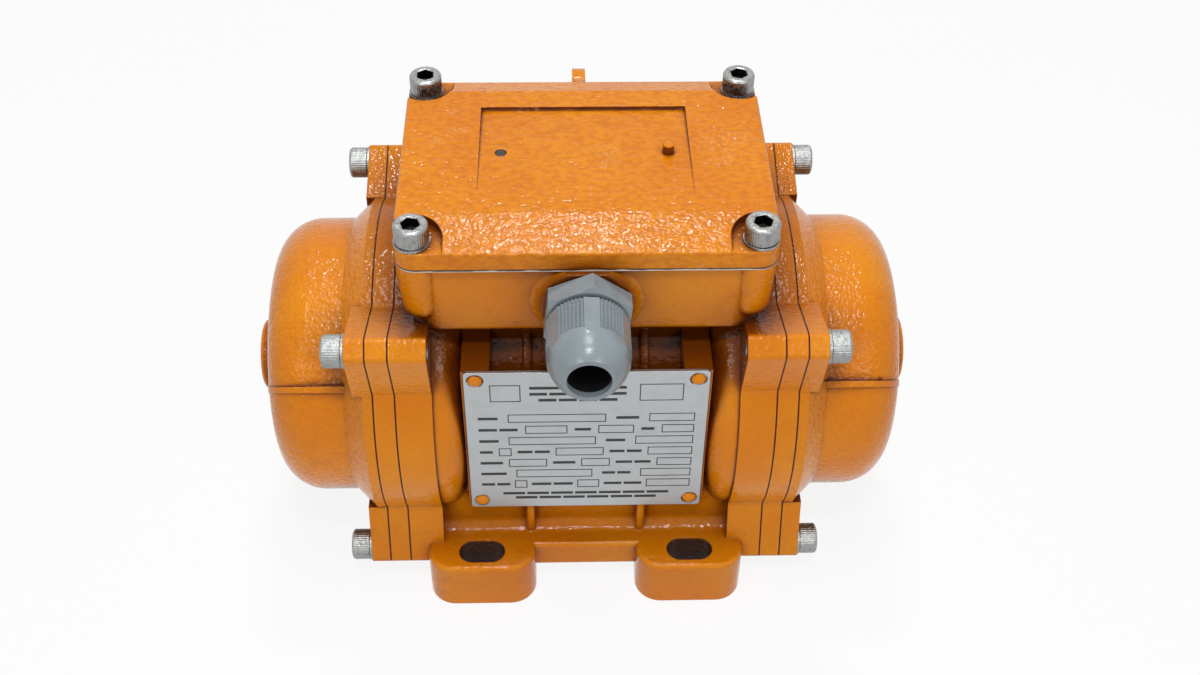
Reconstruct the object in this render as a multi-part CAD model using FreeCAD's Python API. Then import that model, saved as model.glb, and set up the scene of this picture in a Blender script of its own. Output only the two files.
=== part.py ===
"""External vibration motor: a footed electric motor with eccentric weights on both shaft ends.

Millimetres, +Z up, +X along the shaft. The origin is the centre of the foot slot pattern, on the
base plane. The cable gland and the data plate face -Y. "Right" is the +X end, "left" the -X end.
"""
import FreeCAD, Part
import math
import os

from FreeCAD import Vector

# ---------------------------------------------------------------- driving dimensions
# Stance and bore
SHAFT_HEIGHT = 58.0          # base plane to shaft axis
BORE_R = 38.0                # casing bore that holds the stator
BARREL_WALL = 4.0
CASING_HALF = 57.7           # shaft centre to the casing's end face
END_FLANGE = 11.2            # thickness of the casing's end flange
DRUM_SWELL = 9.0             # rise of the rounded shoulder beside each end flange
FLANGE_LIP = 1.0             # end flange radius over the shoulder
BEARING_PLATE = 6.6          # thickness of the bearing flange between casing and cover
COVER_FLANGE = 6.1           # thickness of the weight cover's ears
PAST = 1.0                   # how far a cut runs past the face it opens

# Ears and cover screws
SCREW_INSET = 7.0            # screw axis inside the flange radius, in Y and in Z
EAR_MARGIN = 6.2             # screw axis to the ear's flat sides
EAR_CUT = 4.6                # bevel across each ear's corner
EAR_KINK = 30.0              # degrees from the upright where an ear leaves the round rim
EAR_ROUND = 2.0
M6_R = 3.0
M6_HEAD_R = 5.0
M6_HEAD_H = 6.0
M6_SOCKET = 5.0              # across flats
M6_SOCKET_DEPTH = 3.2
COVER_SCREW_LENGTH = 25.0
LID_SCREW_LENGTH = 20.0
WASHER_R = 5.3
WASHER_T = 0.8
CLEARANCE_HOLE = 0.3         # screw to plain hole, on radius
THREAD_GAP = 0.04            # screw to tapped hole, on radius

# Feet
SLOT_SPACING_X = 68.0
SLOT_SPACING_Y = 106.0
SLOT_WIDTH = 9.0
SLOT_LENGTH = 15.0
FOOT_WIDTH = 35.0
FOOT_MARGIN = 7.3            # slot centre to the foot's front face
FOOT_HEIGHT = 18.4
FOOT_CORNER = 8.5
FOOT_EDGE = 1.5
SILL_CLEAR = 7.7             # underside of the sill between the feet over the base plane
SILL_REACH = 8.6             # sill front beyond the casing's side wall
SIDE_FILLET = 4.0

# Ribs and data plate
THIN_RIB = 3.0
THIN_RIB_X = 18.0
THIN_RIB_RISE = 3.0
RIB_CREST_ROUND = 1.2
PAD_INNER_X = 29.0           # each pad runs from here out to the rounded shoulder
PAD_RISE = 3.5
PLATE_SIDE_GAP = 0.8         # plate edge to the rounded shoulder beside it
PLATE_HEIGHT = 61.4
PLATE_T = 1.0
PLATE_LIFT = 15.0            # plate's lower edge over the foot top
PLATE_CORNER = 1.0
PAD_SHY = 0.6                # pad tops stay below the plate's upper edge
RIVET_INSET = 3.4
RIVET_R = 1.3
RIVET_HEAD_R = 2.3
RIVET_HEAD_H = 1.1
RIVET_LENGTH = 4.0
RIVET_GAP = 0.3              # hole past the rivet's end

# Terminal box
BOX_RISE = 3.4               # box underside over the barrel's crown
BOX_HEIGHT = 26.3
BOX_HALF_X = 53.0            # at the rim
BOX_HALF_Y = 40.2            # at the rim
BOX_CENTRE_Y = 1.0
BOX_DRAFT = 1.6              # each wall leans in by this much towards the floor
BOX_WALL = 4.0
BOX_FLOOR = 6.5
BOX_CORNER = 9.0
BOX_FOOT_ROUND = 2.0
NECK_HALF_Y = 27.0           # saddle between barrel and box
LID_SCREW_INSET = 3.8        # screw axis inside the box rim, in X and in Y
PILLAR_R = 6.4
PILLAR_FOOT_R = 5.5
PILLAR_HEIGHT = 15.9
GASKET_T = 0.8
LID_LAP_X = 1.6              # lid edge beyond the box rim
LID_LAP_Y = 1.8
LID_CORNER = 6.0
LID_EDGE = 5.7               # upright edge of the lid
LID_CROWN = 3.0              # top plane over that edge
LID_SLOPE_FRONT = 14.5       # run of the front slope
LID_SLOPE_BACK = 9.5
LID_TOP_WALL = 3.6
LID_ROUND = 0.8
POCKET_R = 8.7
FIELD_HALF_X = 31.5          # sunk label field
FIELD_FRONT = -20.0
FIELD_BACK = 25.0
FIELD_DEPTH = 1.2
LABEL_PIN_X = 25.0
LABEL_PIN_Y = 2.5
LABEL_PIN_R = 1.7
LABEL_PIN_LENGTH = 2.6
LABEL_PEG_HEIGHT = 3.0
DUCT_X = -32.0               # cable duct from the box floor to the windings
DUCT_R = 6.0

# Cable gland
GLAND_DROP = 12.1            # gland axis below the box rim
GLAND_BOSS_R = 16.6
GLAND_BOSS_WAIST_R = 14.4    # where the flare is halfway out
GLAND_BOSS_FACE_R = 13.5
GLAND_BOSS_RISE = 4.4
GLAND_THREAD_R = 10.0
GLAND_THREAD_REACH = 2.0     # entry thread past the inside of the box wall
GLAND_BORE_R = 6.6
GLAND_HEX = 24.0             # across flats
GLAND_HEX_T = 6.5
GLAND_HEX_TURN = 6.0         # degrees, as tightened
FLAT_UP = 30.0               # degrees that turn a hexagon's corner to a flat
GLAND_WASHER_T = 0.8
GLAND_NUT_R = 12.0
GLAND_NUT_FLATS = 23.5       # across the six smooth lands
GLAND_NUT_LENGTH = 22.5      # spanner hexagon to the mouth
GLAND_MOUTH_R = 6.25
GLAND_MOUTH_LAND = 2.0
GLAND_GAP = 0.06             # nut thread to body thread, on radius
GLAND_SEAL_BORE_R = 6.0
GLAND_SEAL_R = 8.2
GLAND_SEAL_SEAT = 9.0        # length of seal inside the body
GLAND_SEAL_PROUD = 4.0       # length of seal out of the body
GLAND_NECK = 11.5            # body thread under the nut
GLAND_NUT_GAP = 1.2
GLAND_DOME_LENGTH = 10.0
GLAND_LIP_R = 7.6            # flat ring round the mouth
FLUTE_GROUPS = 6
FLUTES_PER_GROUP = 7
FLUTE_PITCH = 5.6            # degrees
FLUTE_TURN = 55.5            # degrees, as tightened
FLUTE_R = 0.5
FLUTE_LENGTH = 12.0

# Lifting lug
LUG_X = -1.0
LUG_T = 4.2
LUG_EYE_R = 4.5
LUG_R = 7.5
LUG_STAND = 10.3             # eye centre behind the box wall at the rim
LUG_DROP = 3.2               # eye centre below the box rim
LUG_INSET = 2.0              # web edge below the box rim and over its underside

# Weight cover
COVER_STEP = 3.0             # cover bore radius over the casing bore
COVER_WALL = 4.0
COVER_RIM = 3.1              # straight rim beyond the joint
COVER_DEPTH = 37.4           # joint to the dome's crown
COVER_SHOULDER_R = 14.0
DOME_R = 190.0
COVER_BOSS_R = 11.5
COVER_BOSS_RISE = 3.8
COVER_BOSS_ROUND = 1.2
COVER_FIN_T = 2.0
COVER_FIN_RISE = 1.2         # on the cup's side
COVER_FIN_FADE = 0.3         # on its domed end
REGISTER_LENGTH = 2.6
REGISTER_WALL = 5.0
REGISTER_GAP = 0.05
SEAL_R = 1.0                 # O-ring section radius

# Motor core
STATOR_LENGTH = 40.0
STATOR_BORE_R = 21.2
AIR_GAP = 0.3
SLOT_COUNT = 24
STATOR_SLOT_W = 3.2
STATOR_SLOT_MOUTH = 1.8
STATOR_TOOTH_TIP = 1.6
STATOR_SLOT_DEPTH = 9.5
WINDING_GAP = 0.15
WINDING_OVERHANG = 14.0
WINDING_ROUND = 3.0
SHAFT_CORE_R = 10.0
ROTOR_BAR_COUNT = 18
ROTOR_BAR_R = 1.8
ROTOR_BAR_COVER = 1.2        # iron outside each rotor bar
END_RING_T = 6.0
END_RING_WALL = 7.0

# Ball bearings (15 x 42 x 13)
BEARING_BORE_R = 7.5
BEARING_R = 21.0
BEARING_WIDTH = 13.0
BEARING_INSET = 8.1          # casing end face to the bearing's inner face
BALL_R = 3.95
BALL_COUNT = 7
BALL_PITCH_R = 14.25
RACE_GAP = 0.05
INNER_LAND_R = 11.8
OUTER_LAND_R = 16.7
HUB_WALL = 6.0
HUB_LIP = 2.0                # shoulder behind the bearing
HUB_RIM = 1.6                # hub beyond the retaining ring
LIP_BORE_R = 18.0
CAGE_HALF = 4.9
SPIGOT_LENGTH = 6.0
FLANGE_RIBS = 8
BEARING_CLIP_T = 1.7
BEARING_CLIP_DEPTH = 1.25
BEARING_CLIP_WIDTH = 3.0
CLIP_OPENING = 6.0
CLIP_GAP = 0.05
SEAT_GAP = 0.02

# Shaft ends and weights
SHAFT_END_R = 7.0
SHAFT_SHOULDER_R = 9.5
SPACER_LENGTH = 5.9
SPACER_R = 10.5
WEIGHT_R = 36.0
WEIGHT_T = 10.0
WEIGHT_HUB_R = 14.0
WEIGHT_SHOULDER = 2.0        # flat edge of the half disc above the shaft axis
WEIGHT_SPACE = 0.4
WEIGHT_BORE_GAP = 0.03
KEY_SIZE = 5.0
KEY_DEPTH = 3.0
KEY_SIDE_GAP = 0.02
KEY_TOP_GAP = 0.3
WEIGHT_ROUND = 2.0
CLAMP_HALF_Y = 10.0
CLAMP_TOP = 19.0
CLAMP_SLIT = 2.0
CLAMP_SCREW_Z = 13.2
M5_R = 2.5
M5_HEAD_R = 4.25
M5_HEAD_H = 5.0
M5_SOCKET = 4.0
CLAMP_SEAT_Y = 8.0
CLAMP_SCREW_LENGTH = 18.0
SHAFT_CLIP_T = 1.0
SHAFT_CLIP_DEPTH = 0.7
SHAFT_CLIP_R = 10.0
SHAFT_TAIL = 3.0
SHAFT_CHAMFER = 0.8

# Terminals
BLOCK_HALF_X = 16.0
BLOCK_HALF_Y = 19.0
BLOCK_CENTRE_Y = 12.0
BLOCK_T = 7.0
BLOCK_ROUND = 2.0
BARRIER_T = 1.6
BARRIER_HEIGHT = 5.0
STUD_PITCH_X = 16.0
STUD_PITCH_Y = 12.0
STUD_R = 2.0
STUD_HEIGHT = 15.0
STUD_FOOT = 2.0
NUT_FLATS = 7.0
NUT_T = 3.0
LEAD_R = 1.1
LEAD_PITCH = 3.4
TAG_R = 3.4
TAG_T = 0.8
EARTH_X = 32.0
EARTH_Y = -16.0
EARTH_SHANK = 4.5
EARTH_TAP_SPARE = 0.5        # tapped depth past the screw's tip
EARTH_HEAD_H = 3.5

# ---------------------------------------------------------------- derived dimensions
BARREL_R = BORE_R + BARREL_WALL
DRUM_R = BARREL_R + DRUM_SWELL
FLANGE_R = DRUM_R + FLANGE_LIP
SCREW_OFFSET = FLANGE_R - SCREW_INSET
EAR_REACH = SCREW_OFFSET + EAR_MARGIN
FLANGE_INNER_X = CASING_HALF - END_FLANGE
COVER_JOINT_X = CASING_HALF + BEARING_PLATE
COVER_EAR_X = COVER_JOINT_X + COVER_FLANGE
COVER_BORE_R = BORE_R + COVER_STEP
COVER_R = COVER_BORE_R + COVER_WALL
DOME_X = COVER_JOINT_X + COVER_DEPTH

FOOT_CENTRE_X = SLOT_SPACING_X / 2
FOOT_INNER_X = FOOT_CENTRE_X - FOOT_WIDTH / 2
FOOT_OUTER_X = FOOT_CENTRE_X + FOOT_WIDTH / 2
FOOT_FRONT = SLOT_SPACING_Y / 2 + FOOT_MARGIN
SILL_FRONT = BARREL_R + SILL_REACH
PAD_FACE = BARREL_R + PAD_RISE
PAD_OUTER_X = FLANGE_INNER_X - DRUM_SWELL
PLATE_WIDTH = 2 * (PAD_OUTER_X - PLATE_SIDE_GAP)
PLATE_BOTTOM = FOOT_HEIGHT + PLATE_LIFT
PLATE_TOP = PLATE_BOTTOM + PLATE_HEIGHT

BOX_BOTTOM = SHAFT_HEIGHT + BARREL_R + BOX_RISE
BOX_TOP = BOX_BOTTOM + BOX_HEIGHT
BOX_DECK = BOX_BOTTOM + BOX_FLOOR
LID_HALF_X = BOX_HALF_X + LID_LAP_X
LID_HALF_Y = BOX_HALF_Y + LID_LAP_Y
LID_BOTTOM = BOX_TOP + GASKET_T
LID_SHELF = LID_BOTTOM + LID_EDGE
LID_TOP = LID_SHELF + LID_CROWN
GLAND_Z = BOX_TOP - GLAND_DROP
BOX_FRONT = BOX_CENTRE_Y - BOX_HALF_Y
GLAND_FACE = BOX_FRONT - GLAND_BOSS_RISE + BOX_DRAFT / 2
GLAND_HEX_BACK = GLAND_FACE - GLAND_WASHER_T

BEARING_X = CASING_HALF - BEARING_INSET
BEARING_OUT_X = BEARING_X + BEARING_WIDTH
HUB_OUT_X = BEARING_OUT_X + BEARING_CLIP_T + 2 * CLIP_GAP + HUB_RIM
SPACER_OUT_X = BEARING_OUT_X + SPACER_LENGTH
FIXED_OUT_X = SPACER_OUT_X + WEIGHT_T
ADJUST_X = FIXED_OUT_X + WEIGHT_SPACE
ADJUST_OUT_X = ADJUST_X + WEIGHT_T
SHAFT_CLIP_X = ADJUST_OUT_X + WEIGHT_SPACE
SHAFT_HALF = SHAFT_CLIP_X + SHAFT_CLIP_T + SHAFT_TAIL
ROTOR_R = STATOR_BORE_R - AIR_GAP
CORE_HALF = STATOR_LENGTH / 2

SPIGOT_SEAL_X = CASING_HALF - SPIGOT_LENGTH / 2
REGISTER_SEAL_X = COVER_JOINT_X + REGISTER_LENGTH / 2

CENTRE = Vector(0, 0, SHAFT_HEIGHT)
X_AXIS = Vector(1, 0, 0)
Y_AXIS = Vector(0, 1, 0)
Z_AXIS = Vector(0, 0, 1)
SLOT_CENTRES = [(x * SLOT_SPACING_X / 2, y * SLOT_SPACING_Y / 2) for x in (-1, 1) for y in (-1, 1)]
EAR_SCREWS = [(y * SCREW_OFFSET, SHAFT_HEIGHT + z * SCREW_OFFSET) for y in (-1, 1) for z in (-1, 1)]
RIVET_X = PLATE_WIDTH / 2 - RIVET_INSET
RIVETS = [(x * RIVET_X, z) for x in (-1, 1) for z in (PLATE_BOTTOM + RIVET_INSET, PLATE_TOP - RIVET_INSET)]
LID_SCREW_X = BOX_HALF_X - LID_SCREW_INSET
LID_SCREW_Y = BOX_HALF_Y - LID_SCREW_INSET
PILLAR_X = LID_HALF_X - PILLAR_R
PILLAR_Y = LID_HALF_Y - PILLAR_R
LID_SCREWS = [(x * LID_SCREW_X, BOX_CENTRE_Y + y * LID_SCREW_Y) for x in (-1, 1) for y in (-1, 1)]
PILLARS = [(x * PILLAR_X, BOX_CENTRE_Y + y * PILLAR_Y) for x in (-1, 1) for y in (-1, 1)]


# ---------------------------------------------------------------- general shapes
def block(x0, x1, y0, y1, z0, z1):
    """Box between two opposite corners."""
    return Part.makeBox(x1 - x0, y1 - y0, z1 - z0, Vector(x0, y0, z0))


def rod(radius, start, end):
    """Cylinder between two points."""
    along = end.sub(start)
    return Part.makeCylinder(radius, along.Length, start, along)


def shaft_rod(radius, x0, x1):
    """Cylinder about the shaft axis."""
    return rod(radius, Vector(x0, 0, SHAFT_HEIGHT), Vector(x1, 0, SHAFT_HEIGHT))


def turned(outline, origin=CENTRE, axis=X_AXIS, radial=Z_AXIS):
    """Solid of revolution from (distance along the axis, radius) corners."""
    corners = [origin + axis * along + radial * radius for along, radius in outline]
    face = Part.Face(Part.makePolygon(corners + corners[:1]))
    return face.revolve(origin, axis, 360)


def ring(x0, x1, inner, outer):
    """Plain ring about the shaft axis."""
    return turned([(x0, inner), (x0, outer), (x1, outer), (x1, inner)])


def hexagon(flats, thickness, turn=0.0):
    """Upright hexagonal prism on the local origin."""
    reach = flats / math.sqrt(3)
    angles = [math.radians(60 * side + turn) for side in range(6)]
    corners = [Vector(reach * math.cos(a), reach * math.sin(a), 0) for a in angles]
    return Part.Face(Part.makePolygon(corners + corners[:1])).extrude(Z_AXIS * thickness)


def aimed(shape, position, direction):
    """Moves a shape made on the local Z axis to a position, with that axis along a direction."""
    placed = shape.copy()
    placed.Placement = FreeCAD.Placement(position, FreeCAD.Rotation(Z_AXIS, direction))
    return placed


def mirrored(shape):
    """The left-hand copy of a right-hand shape."""
    return shape.mirror(Vector(0, 0, 0), X_AXIS)


def joined(shapes):
    """One solid from touching or overlapping shapes."""
    return shapes[0].multiFuse(shapes[1:]).removeSplitter()


def edges_along(shape, direction):
    """Straight edges that run parallel to a direction."""
    found = []
    for edge in shape.Edges:
        if edge.Curve.TypeId != "Part::GeomLine":
            continue
        if edge.tangentAt(edge.FirstParameter).cross(direction).Length < 1e-6:
            found.append(edge)
    return found


def rounded_rectangle(half_x, half_y, z, corner):
    """Wire of a rectangle with round corners, centred on the terminal box."""
    plate = Part.makePlane(2 * half_x, 2 * half_y, Vector(-half_x, BOX_CENTRE_Y - half_y, z))
    prism = plate.extrude(Z_AXIS)
    prism = prism.makeFillet(corner, edges_along(prism, Z_AXIS))
    lowest = [face for face in prism.Faces if face.BoundBox.ZMax < z + 0.01]
    return lowest[0].OuterWire


def cap_screw(radius, length, head_r, head_h, socket):
    """Socket head cap screw on the local Z axis, its head seated at the origin and pointing up."""
    bevel = 0.1 * head_r
    outline = [(-length, 0), (-length, radius - bevel), (bevel - length, radius), (0, radius),
               (0, head_r), (head_h - bevel, head_r), (head_h, head_r - bevel), (head_h, 0)]
    screw = turned(outline, Vector(0, 0, 0), Z_AXIS, X_AXIS)
    hollow = hexagon(socket, head_h)
    hollow.translate(Z_AXIS * (head_h - M6_SOCKET_DEPTH))
    return screw.cut(hollow)


def washer(inner, outer, thickness):
    """Flat washer on the local origin."""
    disc = Part.makeCylinder(outer, thickness)
    return disc.cut(Part.makeCylinder(inner, thickness))


# ---------------------------------------------------------------- casing
def flange_slab(x0, x1):
    """Round end flange with four bevelled ears, between two stations along the shaft."""
    kink = math.radians(EAR_KINK)
    near, far = FLANGE_R * math.sin(kink), FLANGE_R * math.cos(kink)
    bevel = EAR_REACH - EAR_CUT
    corners = [(far, near), (EAR_REACH, bevel), (bevel, EAR_REACH), (near, far)]
    corners = [Vector(x0, y, SHAFT_HEIGHT + z) for y, z in corners]
    crown = Vector(x0, 0, SHAFT_HEIGHT + FLANGE_R)
    next_corner = Vector(x0, -near, SHAFT_HEIGHT + far)
    quarter = [Part.makeLine(a, b) for a, b in zip(corners, corners[1:])]
    quarter.append(Part.Arc(corners[-1], crown, next_corner).toShape())
    outline = []
    for turn in range(4):
        outline += [edge.copy().rotate(CENTRE, X_AXIS, 90 * turn) for edge in quarter]
    slab = Part.Face(Part.Wire(outline)).extrude(X_AXIS * (x1 - x0))
    return slab.makeFillet(EAR_ROUND, edges_along(slab, X_AXIS))


def arch(radius, floor, x0, x1):
    """Barrel form: half round over the shaft with upright sides down to a floor."""
    front, back = Vector(x0, -radius, SHAFT_HEIGHT), Vector(x0, radius, SHAFT_HEIGHT)
    crown = Vector(x0, 0, SHAFT_HEIGHT + radius)
    front_foot, back_foot = Vector(x0, -radius, floor), Vector(x0, radius, floor)
    edges = [Part.Arc(front, crown, back).toShape(), Part.makeLine(back, back_foot),
             Part.makeLine(back_foot, front_foot), Part.makeLine(front_foot, front)]
    return Part.Face(Part.Wire(edges)).extrude(X_AXIS * (x1 - x0))


def drum_shoulder():
    """Rounded swelling of the barrel beside the right end flange."""
    start = FLANGE_INNER_X - DRUM_SWELL
    swell = ring(start, FLANGE_INNER_X + 1, BORE_R + 1, DRUM_R)
    rim = [edge for edge in swell.Edges
           if abs(edge.BoundBox.XMax - start) < 0.01 and edge.BoundBox.YMax > DRUM_R - 0.1]
    return swell.makeFillet(DRUM_SWELL - 0.3, rim)


def foot():
    """Right rear foot block, with round corners and a softened top edge."""
    shape = block(FOOT_INNER_X, FOOT_OUTER_X, BARREL_R - BARREL_WALL, FOOT_FRONT, 0, FOOT_HEIGHT)
    corners = [e for e in edges_along(shape, Z_AXIS) if e.BoundBox.YMin > FOOT_FRONT - 0.1]
    shape = shape.makeFillet(FOOT_CORNER, corners)
    top = [e for e in shape.Edges if e.BoundBox.ZMin > FOOT_HEIGHT - 0.01
           and e.BoundBox.YMax > BARREL_R]
    return shape.makeFillet(FOOT_EDGE, top)


def sill():
    """Rear bar between the feet, level with their tops, with the fillet up to the side wall."""
    bar = block(-FLANGE_INNER_X, FLANGE_INNER_X, 0, SILL_FRONT, SILL_CLEAR, FOOT_HEIGHT)
    front = [e for e in edges_along(bar, X_AXIS) if e.BoundBox.YMin > SILL_FRONT - 0.1]
    bar = bar.makeFillet(FOOT_EDGE, front)
    wall, shelf = BARREL_R, FOOT_HEIGHT
    cove = block(-FLANGE_INNER_X, FLANGE_INNER_X, wall - 1, wall + SIDE_FILLET,
                 shelf - 1, shelf + SIDE_FILLET)
    centre_y, centre_z = wall + SIDE_FILLET, shelf + SIDE_FILLET
    cove = cove.cut(rod(SIDE_FILLET, Vector(-FLANGE_INNER_X, centre_y, centre_z),
                        Vector(FLANGE_INNER_X, centre_y, centre_z)))
    return bar.fuse(cove)


def foot_slot(x, y):
    """Through slot for a foot bolt, long way along the shaft."""
    straight = (SLOT_LENGTH - SLOT_WIDTH) / 2
    radius = SLOT_WIDTH / 2
    ends = [rod(radius, Vector(x + side * straight, y, -1), Vector(x + side * straight, y, FOOT_HEIGHT + 1))
            for side in (-1, 1)]
    middle = block(x - straight, x + straight, y - radius, y + radius, -1, FOOT_HEIGHT + 1)
    return joined([middle] + ends)


def under_pockets():
    """Coring of the foot block from below, up to the round of the barrel, between the ribs."""
    web = THIN_RIB / 2
    bays = [(-THIN_RIB_X + web, THIN_RIB_X - web), (THIN_RIB_X + web, PAD_INNER_X),
            (-PAD_INNER_X, -THIN_RIB_X - web)]
    bays = [block(x0, x1, -BORE_R, BORE_R, 0, SHAFT_HEIGHT) for x0, x1 in bays]
    return joined([Part.makeCompound(bays)]).cut(shaft_rod(BARREL_R, -CASING_HALF, CASING_HALF))


def thin_ribs():
    """Two thin ribs round the barrel with rounded crests."""
    shapes = []
    for middle in (-THIN_RIB_X, THIN_RIB_X):
        rib = arch(BARREL_R + THIN_RIB_RISE, SILL_CLEAR, middle - THIN_RIB / 2, middle + THIN_RIB / 2)
        crest = [e for e in rib.Edges if e.BoundBox.XLength < 0.01
                 and e.BoundBox.ZMax > SILL_CLEAR + 0.1]
        shapes.append(rib.makeFillet(RIB_CREST_ROUND, crest))
    return shapes


def plate_pads():
    """Wide pads round the barrel, level in front to carry the data plate, ending at its lower edge."""
    shapes = []
    low, high = PLATE_BOTTOM + PAD_SHY, PLATE_TOP - PAD_SHY
    for side in (-1, 1):
        x0, x1 = sorted((side * PAD_INNER_X, side * PAD_OUTER_X))
        shapes.append(arch(PAD_FACE, low, x0, x1))
        shapes.append(block(x0, x1, -PAD_FACE, 0, low, high))
    return shapes


def box_shell():
    """Outside of the terminal box with its saddle on the barrel."""
    floor = rounded_rectangle(BOX_HALF_X - BOX_DRAFT, BOX_HALF_Y - BOX_DRAFT, BOX_BOTTOM, BOX_CORNER)
    rim = rounded_rectangle(BOX_HALF_X, BOX_HALF_Y, BOX_TOP, BOX_CORNER)
    shell = Part.makeLoft([floor, rim], True, True)
    bottom = [edge for edge in shell.Edges if edge.BoundBox.ZMax < BOX_BOTTOM + 0.01]
    shell = shell.makeFillet(BOX_FOOT_ROUND, bottom)
    saddle = block(-FLANGE_INNER_X, FLANGE_INNER_X, -NECK_HALF_Y, NECK_HALF_Y,
                   SHAFT_HEIGHT, BOX_BOTTOM + 1)
    saddle = saddle.cut(shaft_rod(BORE_R + 1, -CASING_HALF, CASING_HALF))
    return [shell, saddle]


def pillar(x, y):
    """Bullet-ended column that takes a lid screw."""
    tip = BOX_TOP - PILLAR_HEIGHT
    stem = Part.makeCone(PILLAR_FOOT_R, PILLAR_R, PILLAR_HEIGHT, Vector(x, y, tip), Z_AXIS)
    return stem.fuse(Part.makeSphere(PILLAR_FOOT_R, Vector(x, y, tip)))


def box_cavity():
    """Inside of the terminal box, clear of the pillars."""
    inner_x, inner_y, corner = BOX_HALF_X - BOX_WALL, BOX_HALF_Y - BOX_WALL, BOX_CORNER - BOX_WALL
    floor = rounded_rectangle(inner_x - BOX_DRAFT, inner_y - BOX_DRAFT, BOX_DECK, corner)
    rim = rounded_rectangle(inner_x, inner_y, BOX_TOP, corner)
    hollow = Part.makeLoft([floor, rim], True, True)
    columns = [rod(PILLAR_R, Vector(x, y, BOX_BOTTOM), Vector(x, y, BOX_TOP + PAST)) for x, y in PILLARS]
    return hollow.cut(Part.makeCompound(columns))


def gland_boss():
    """Round boss for the cable gland, flared into the front wall and level with the box rim."""
    root, wall = BOX_FRONT + BOX_WALL, GLAND_FACE + GLAND_BOSS_RISE
    centre = Vector(0, root, GLAND_Z)
    corners = [(root, 0), (root, GLAND_BOSS_R), (wall, GLAND_BOSS_R),
               (wall - GLAND_BOSS_RISE / 3, GLAND_BOSS_WAIST_R), (GLAND_FACE, GLAND_BOSS_FACE_R),
               (GLAND_FACE, 0)]
    corners = [Vector(0, y, GLAND_Z + radius) for y, radius in corners]
    edges = [Part.makeLine(corners[0], corners[1]), Part.makeLine(corners[1], corners[2]),
             Part.Arc(corners[2], corners[3], corners[4]).toShape(), Part.makeLine(corners[4], corners[5]),
             Part.makeLine(corners[5], corners[0])]
    boss = Part.Face(Part.Wire(edges)).revolve(centre, Y_AXIS, 360)
    above = block(-BOX_HALF_X, BOX_HALF_X, GLAND_FACE - PAST, BOX_CENTRE_Y, BOX_TOP, BOX_TOP + BOX_HEIGHT)
    return boss.cut(above)


def lifting_lug():
    """Eye behind the terminal box, with its bore along the shaft direction."""
    x0, x1 = LUG_X - LUG_T / 2, LUG_X + LUG_T / 2
    eye_y, eye_z = BOX_CENTRE_Y + BOX_HALF_Y + LUG_STAND, BOX_TOP - LUG_DROP
    wall = BOX_CENTRE_Y + BOX_HALF_Y - BOX_WALL
    head = rod(LUG_R, Vector(x0, eye_y, eye_z), Vector(x1, eye_y, eye_z))
    slant = LUG_R * math.sqrt(0.5)
    corners = [(wall, BOX_DECK), (wall, BOX_TOP - LUG_INSET), (eye_y, BOX_TOP - LUG_INSET),
               (eye_y + slant, eye_z - slant), (wall + BOX_WALL, BOX_BOTTOM + LUG_INSET)]
    corners = [Vector(x0, y, z) for y, z in corners]
    web = Part.Face(Part.makePolygon(corners + corners[:1])).extrude(X_AXIS * LUG_T)
    eye = rod(LUG_EYE_R, Vector(x0 - PAST, eye_y, eye_z), Vector(x1 + PAST, eye_y, eye_z))
    return head.fuse(web).cut(eye)


def casing_holes():
    """Everything drilled, tapped or bored in the casing."""
    holes = [shaft_rod(BORE_R, -CASING_HALF - PAST, CASING_HALF + PAST), box_cavity()]
    holes += [foot_slot(x, y) for x, y in SLOT_CENTRES]
    tapped = M6_R + THREAD_GAP
    for y, z in EAR_SCREWS:
        for side in (-1, 1):
            holes.append(rod(tapped, Vector(side * (FLANGE_INNER_X - PAST), y, z),
                             Vector(side * (CASING_HALF + PAST), y, z)))
    depth = LID_SCREW_LENGTH - (LID_SHELF - BOX_TOP) + PAST
    for x, y in LID_SCREWS:
        holes.append(rod(tapped, Vector(x, y, BOX_TOP - depth), Vector(x, y, BOX_TOP + PAST)))
    holes.append(rod(GLAND_THREAD_R + THREAD_GAP, Vector(0, GLAND_FACE - PAST, GLAND_Z),
                     Vector(0, BOX_FRONT + 3 * BOX_WALL, GLAND_Z)))
    holes.append(rod(DUCT_R, Vector(DUCT_X, 0, SHAFT_HEIGHT), Vector(DUCT_X, 0, BOX_DECK + PAST)))
    for x, z in RIVETS:
        holes.append(rod(RIVET_R + THREAD_GAP, Vector(x, -PAD_FACE - PAST, z),
                         Vector(x, RIVET_LENGTH - PLATE_T - PAD_FACE + RIVET_GAP, z)))
    holes.append(rod(M5_R + THREAD_GAP, Vector(EARTH_X, EARTH_Y, BOX_DECK - EARTH_SHANK - EARTH_TAP_SPARE),
                     Vector(EARTH_X, EARTH_Y, BOX_DECK + PAST)))
    return holes


def motor_casing():
    """One casting: barrel, shoulders, end flanges, feet, ribs, terminal box and lifting lug."""
    barrel = arch(BARREL_R, SILL_CLEAR, -FLANGE_INNER_X, FLANGE_INNER_X)
    right_shoulder, rear_foot, rear_sill = drum_shoulder(), foot(), sill()
    solids = [barrel, right_shoulder, mirrored(right_shoulder)]
    solids += [flange_slab(FLANGE_INNER_X, CASING_HALF), flange_slab(-CASING_HALF, -FLANGE_INNER_X)]
    for shape in (rear_foot, mirrored(rear_foot), rear_sill):
        solids += [shape, shape.mirror(Vector(0, 0, 0), Y_AXIS)]
    solids += thin_ribs() + plate_pads() + box_shell() + [pillar(x, y) for x, y in PILLARS]
    solids += [gland_boss(), lifting_lug()]
    casting = joined(solids).cut(under_pockets())
    return casting.cut(Part.makeCompound(casing_holes()))


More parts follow.
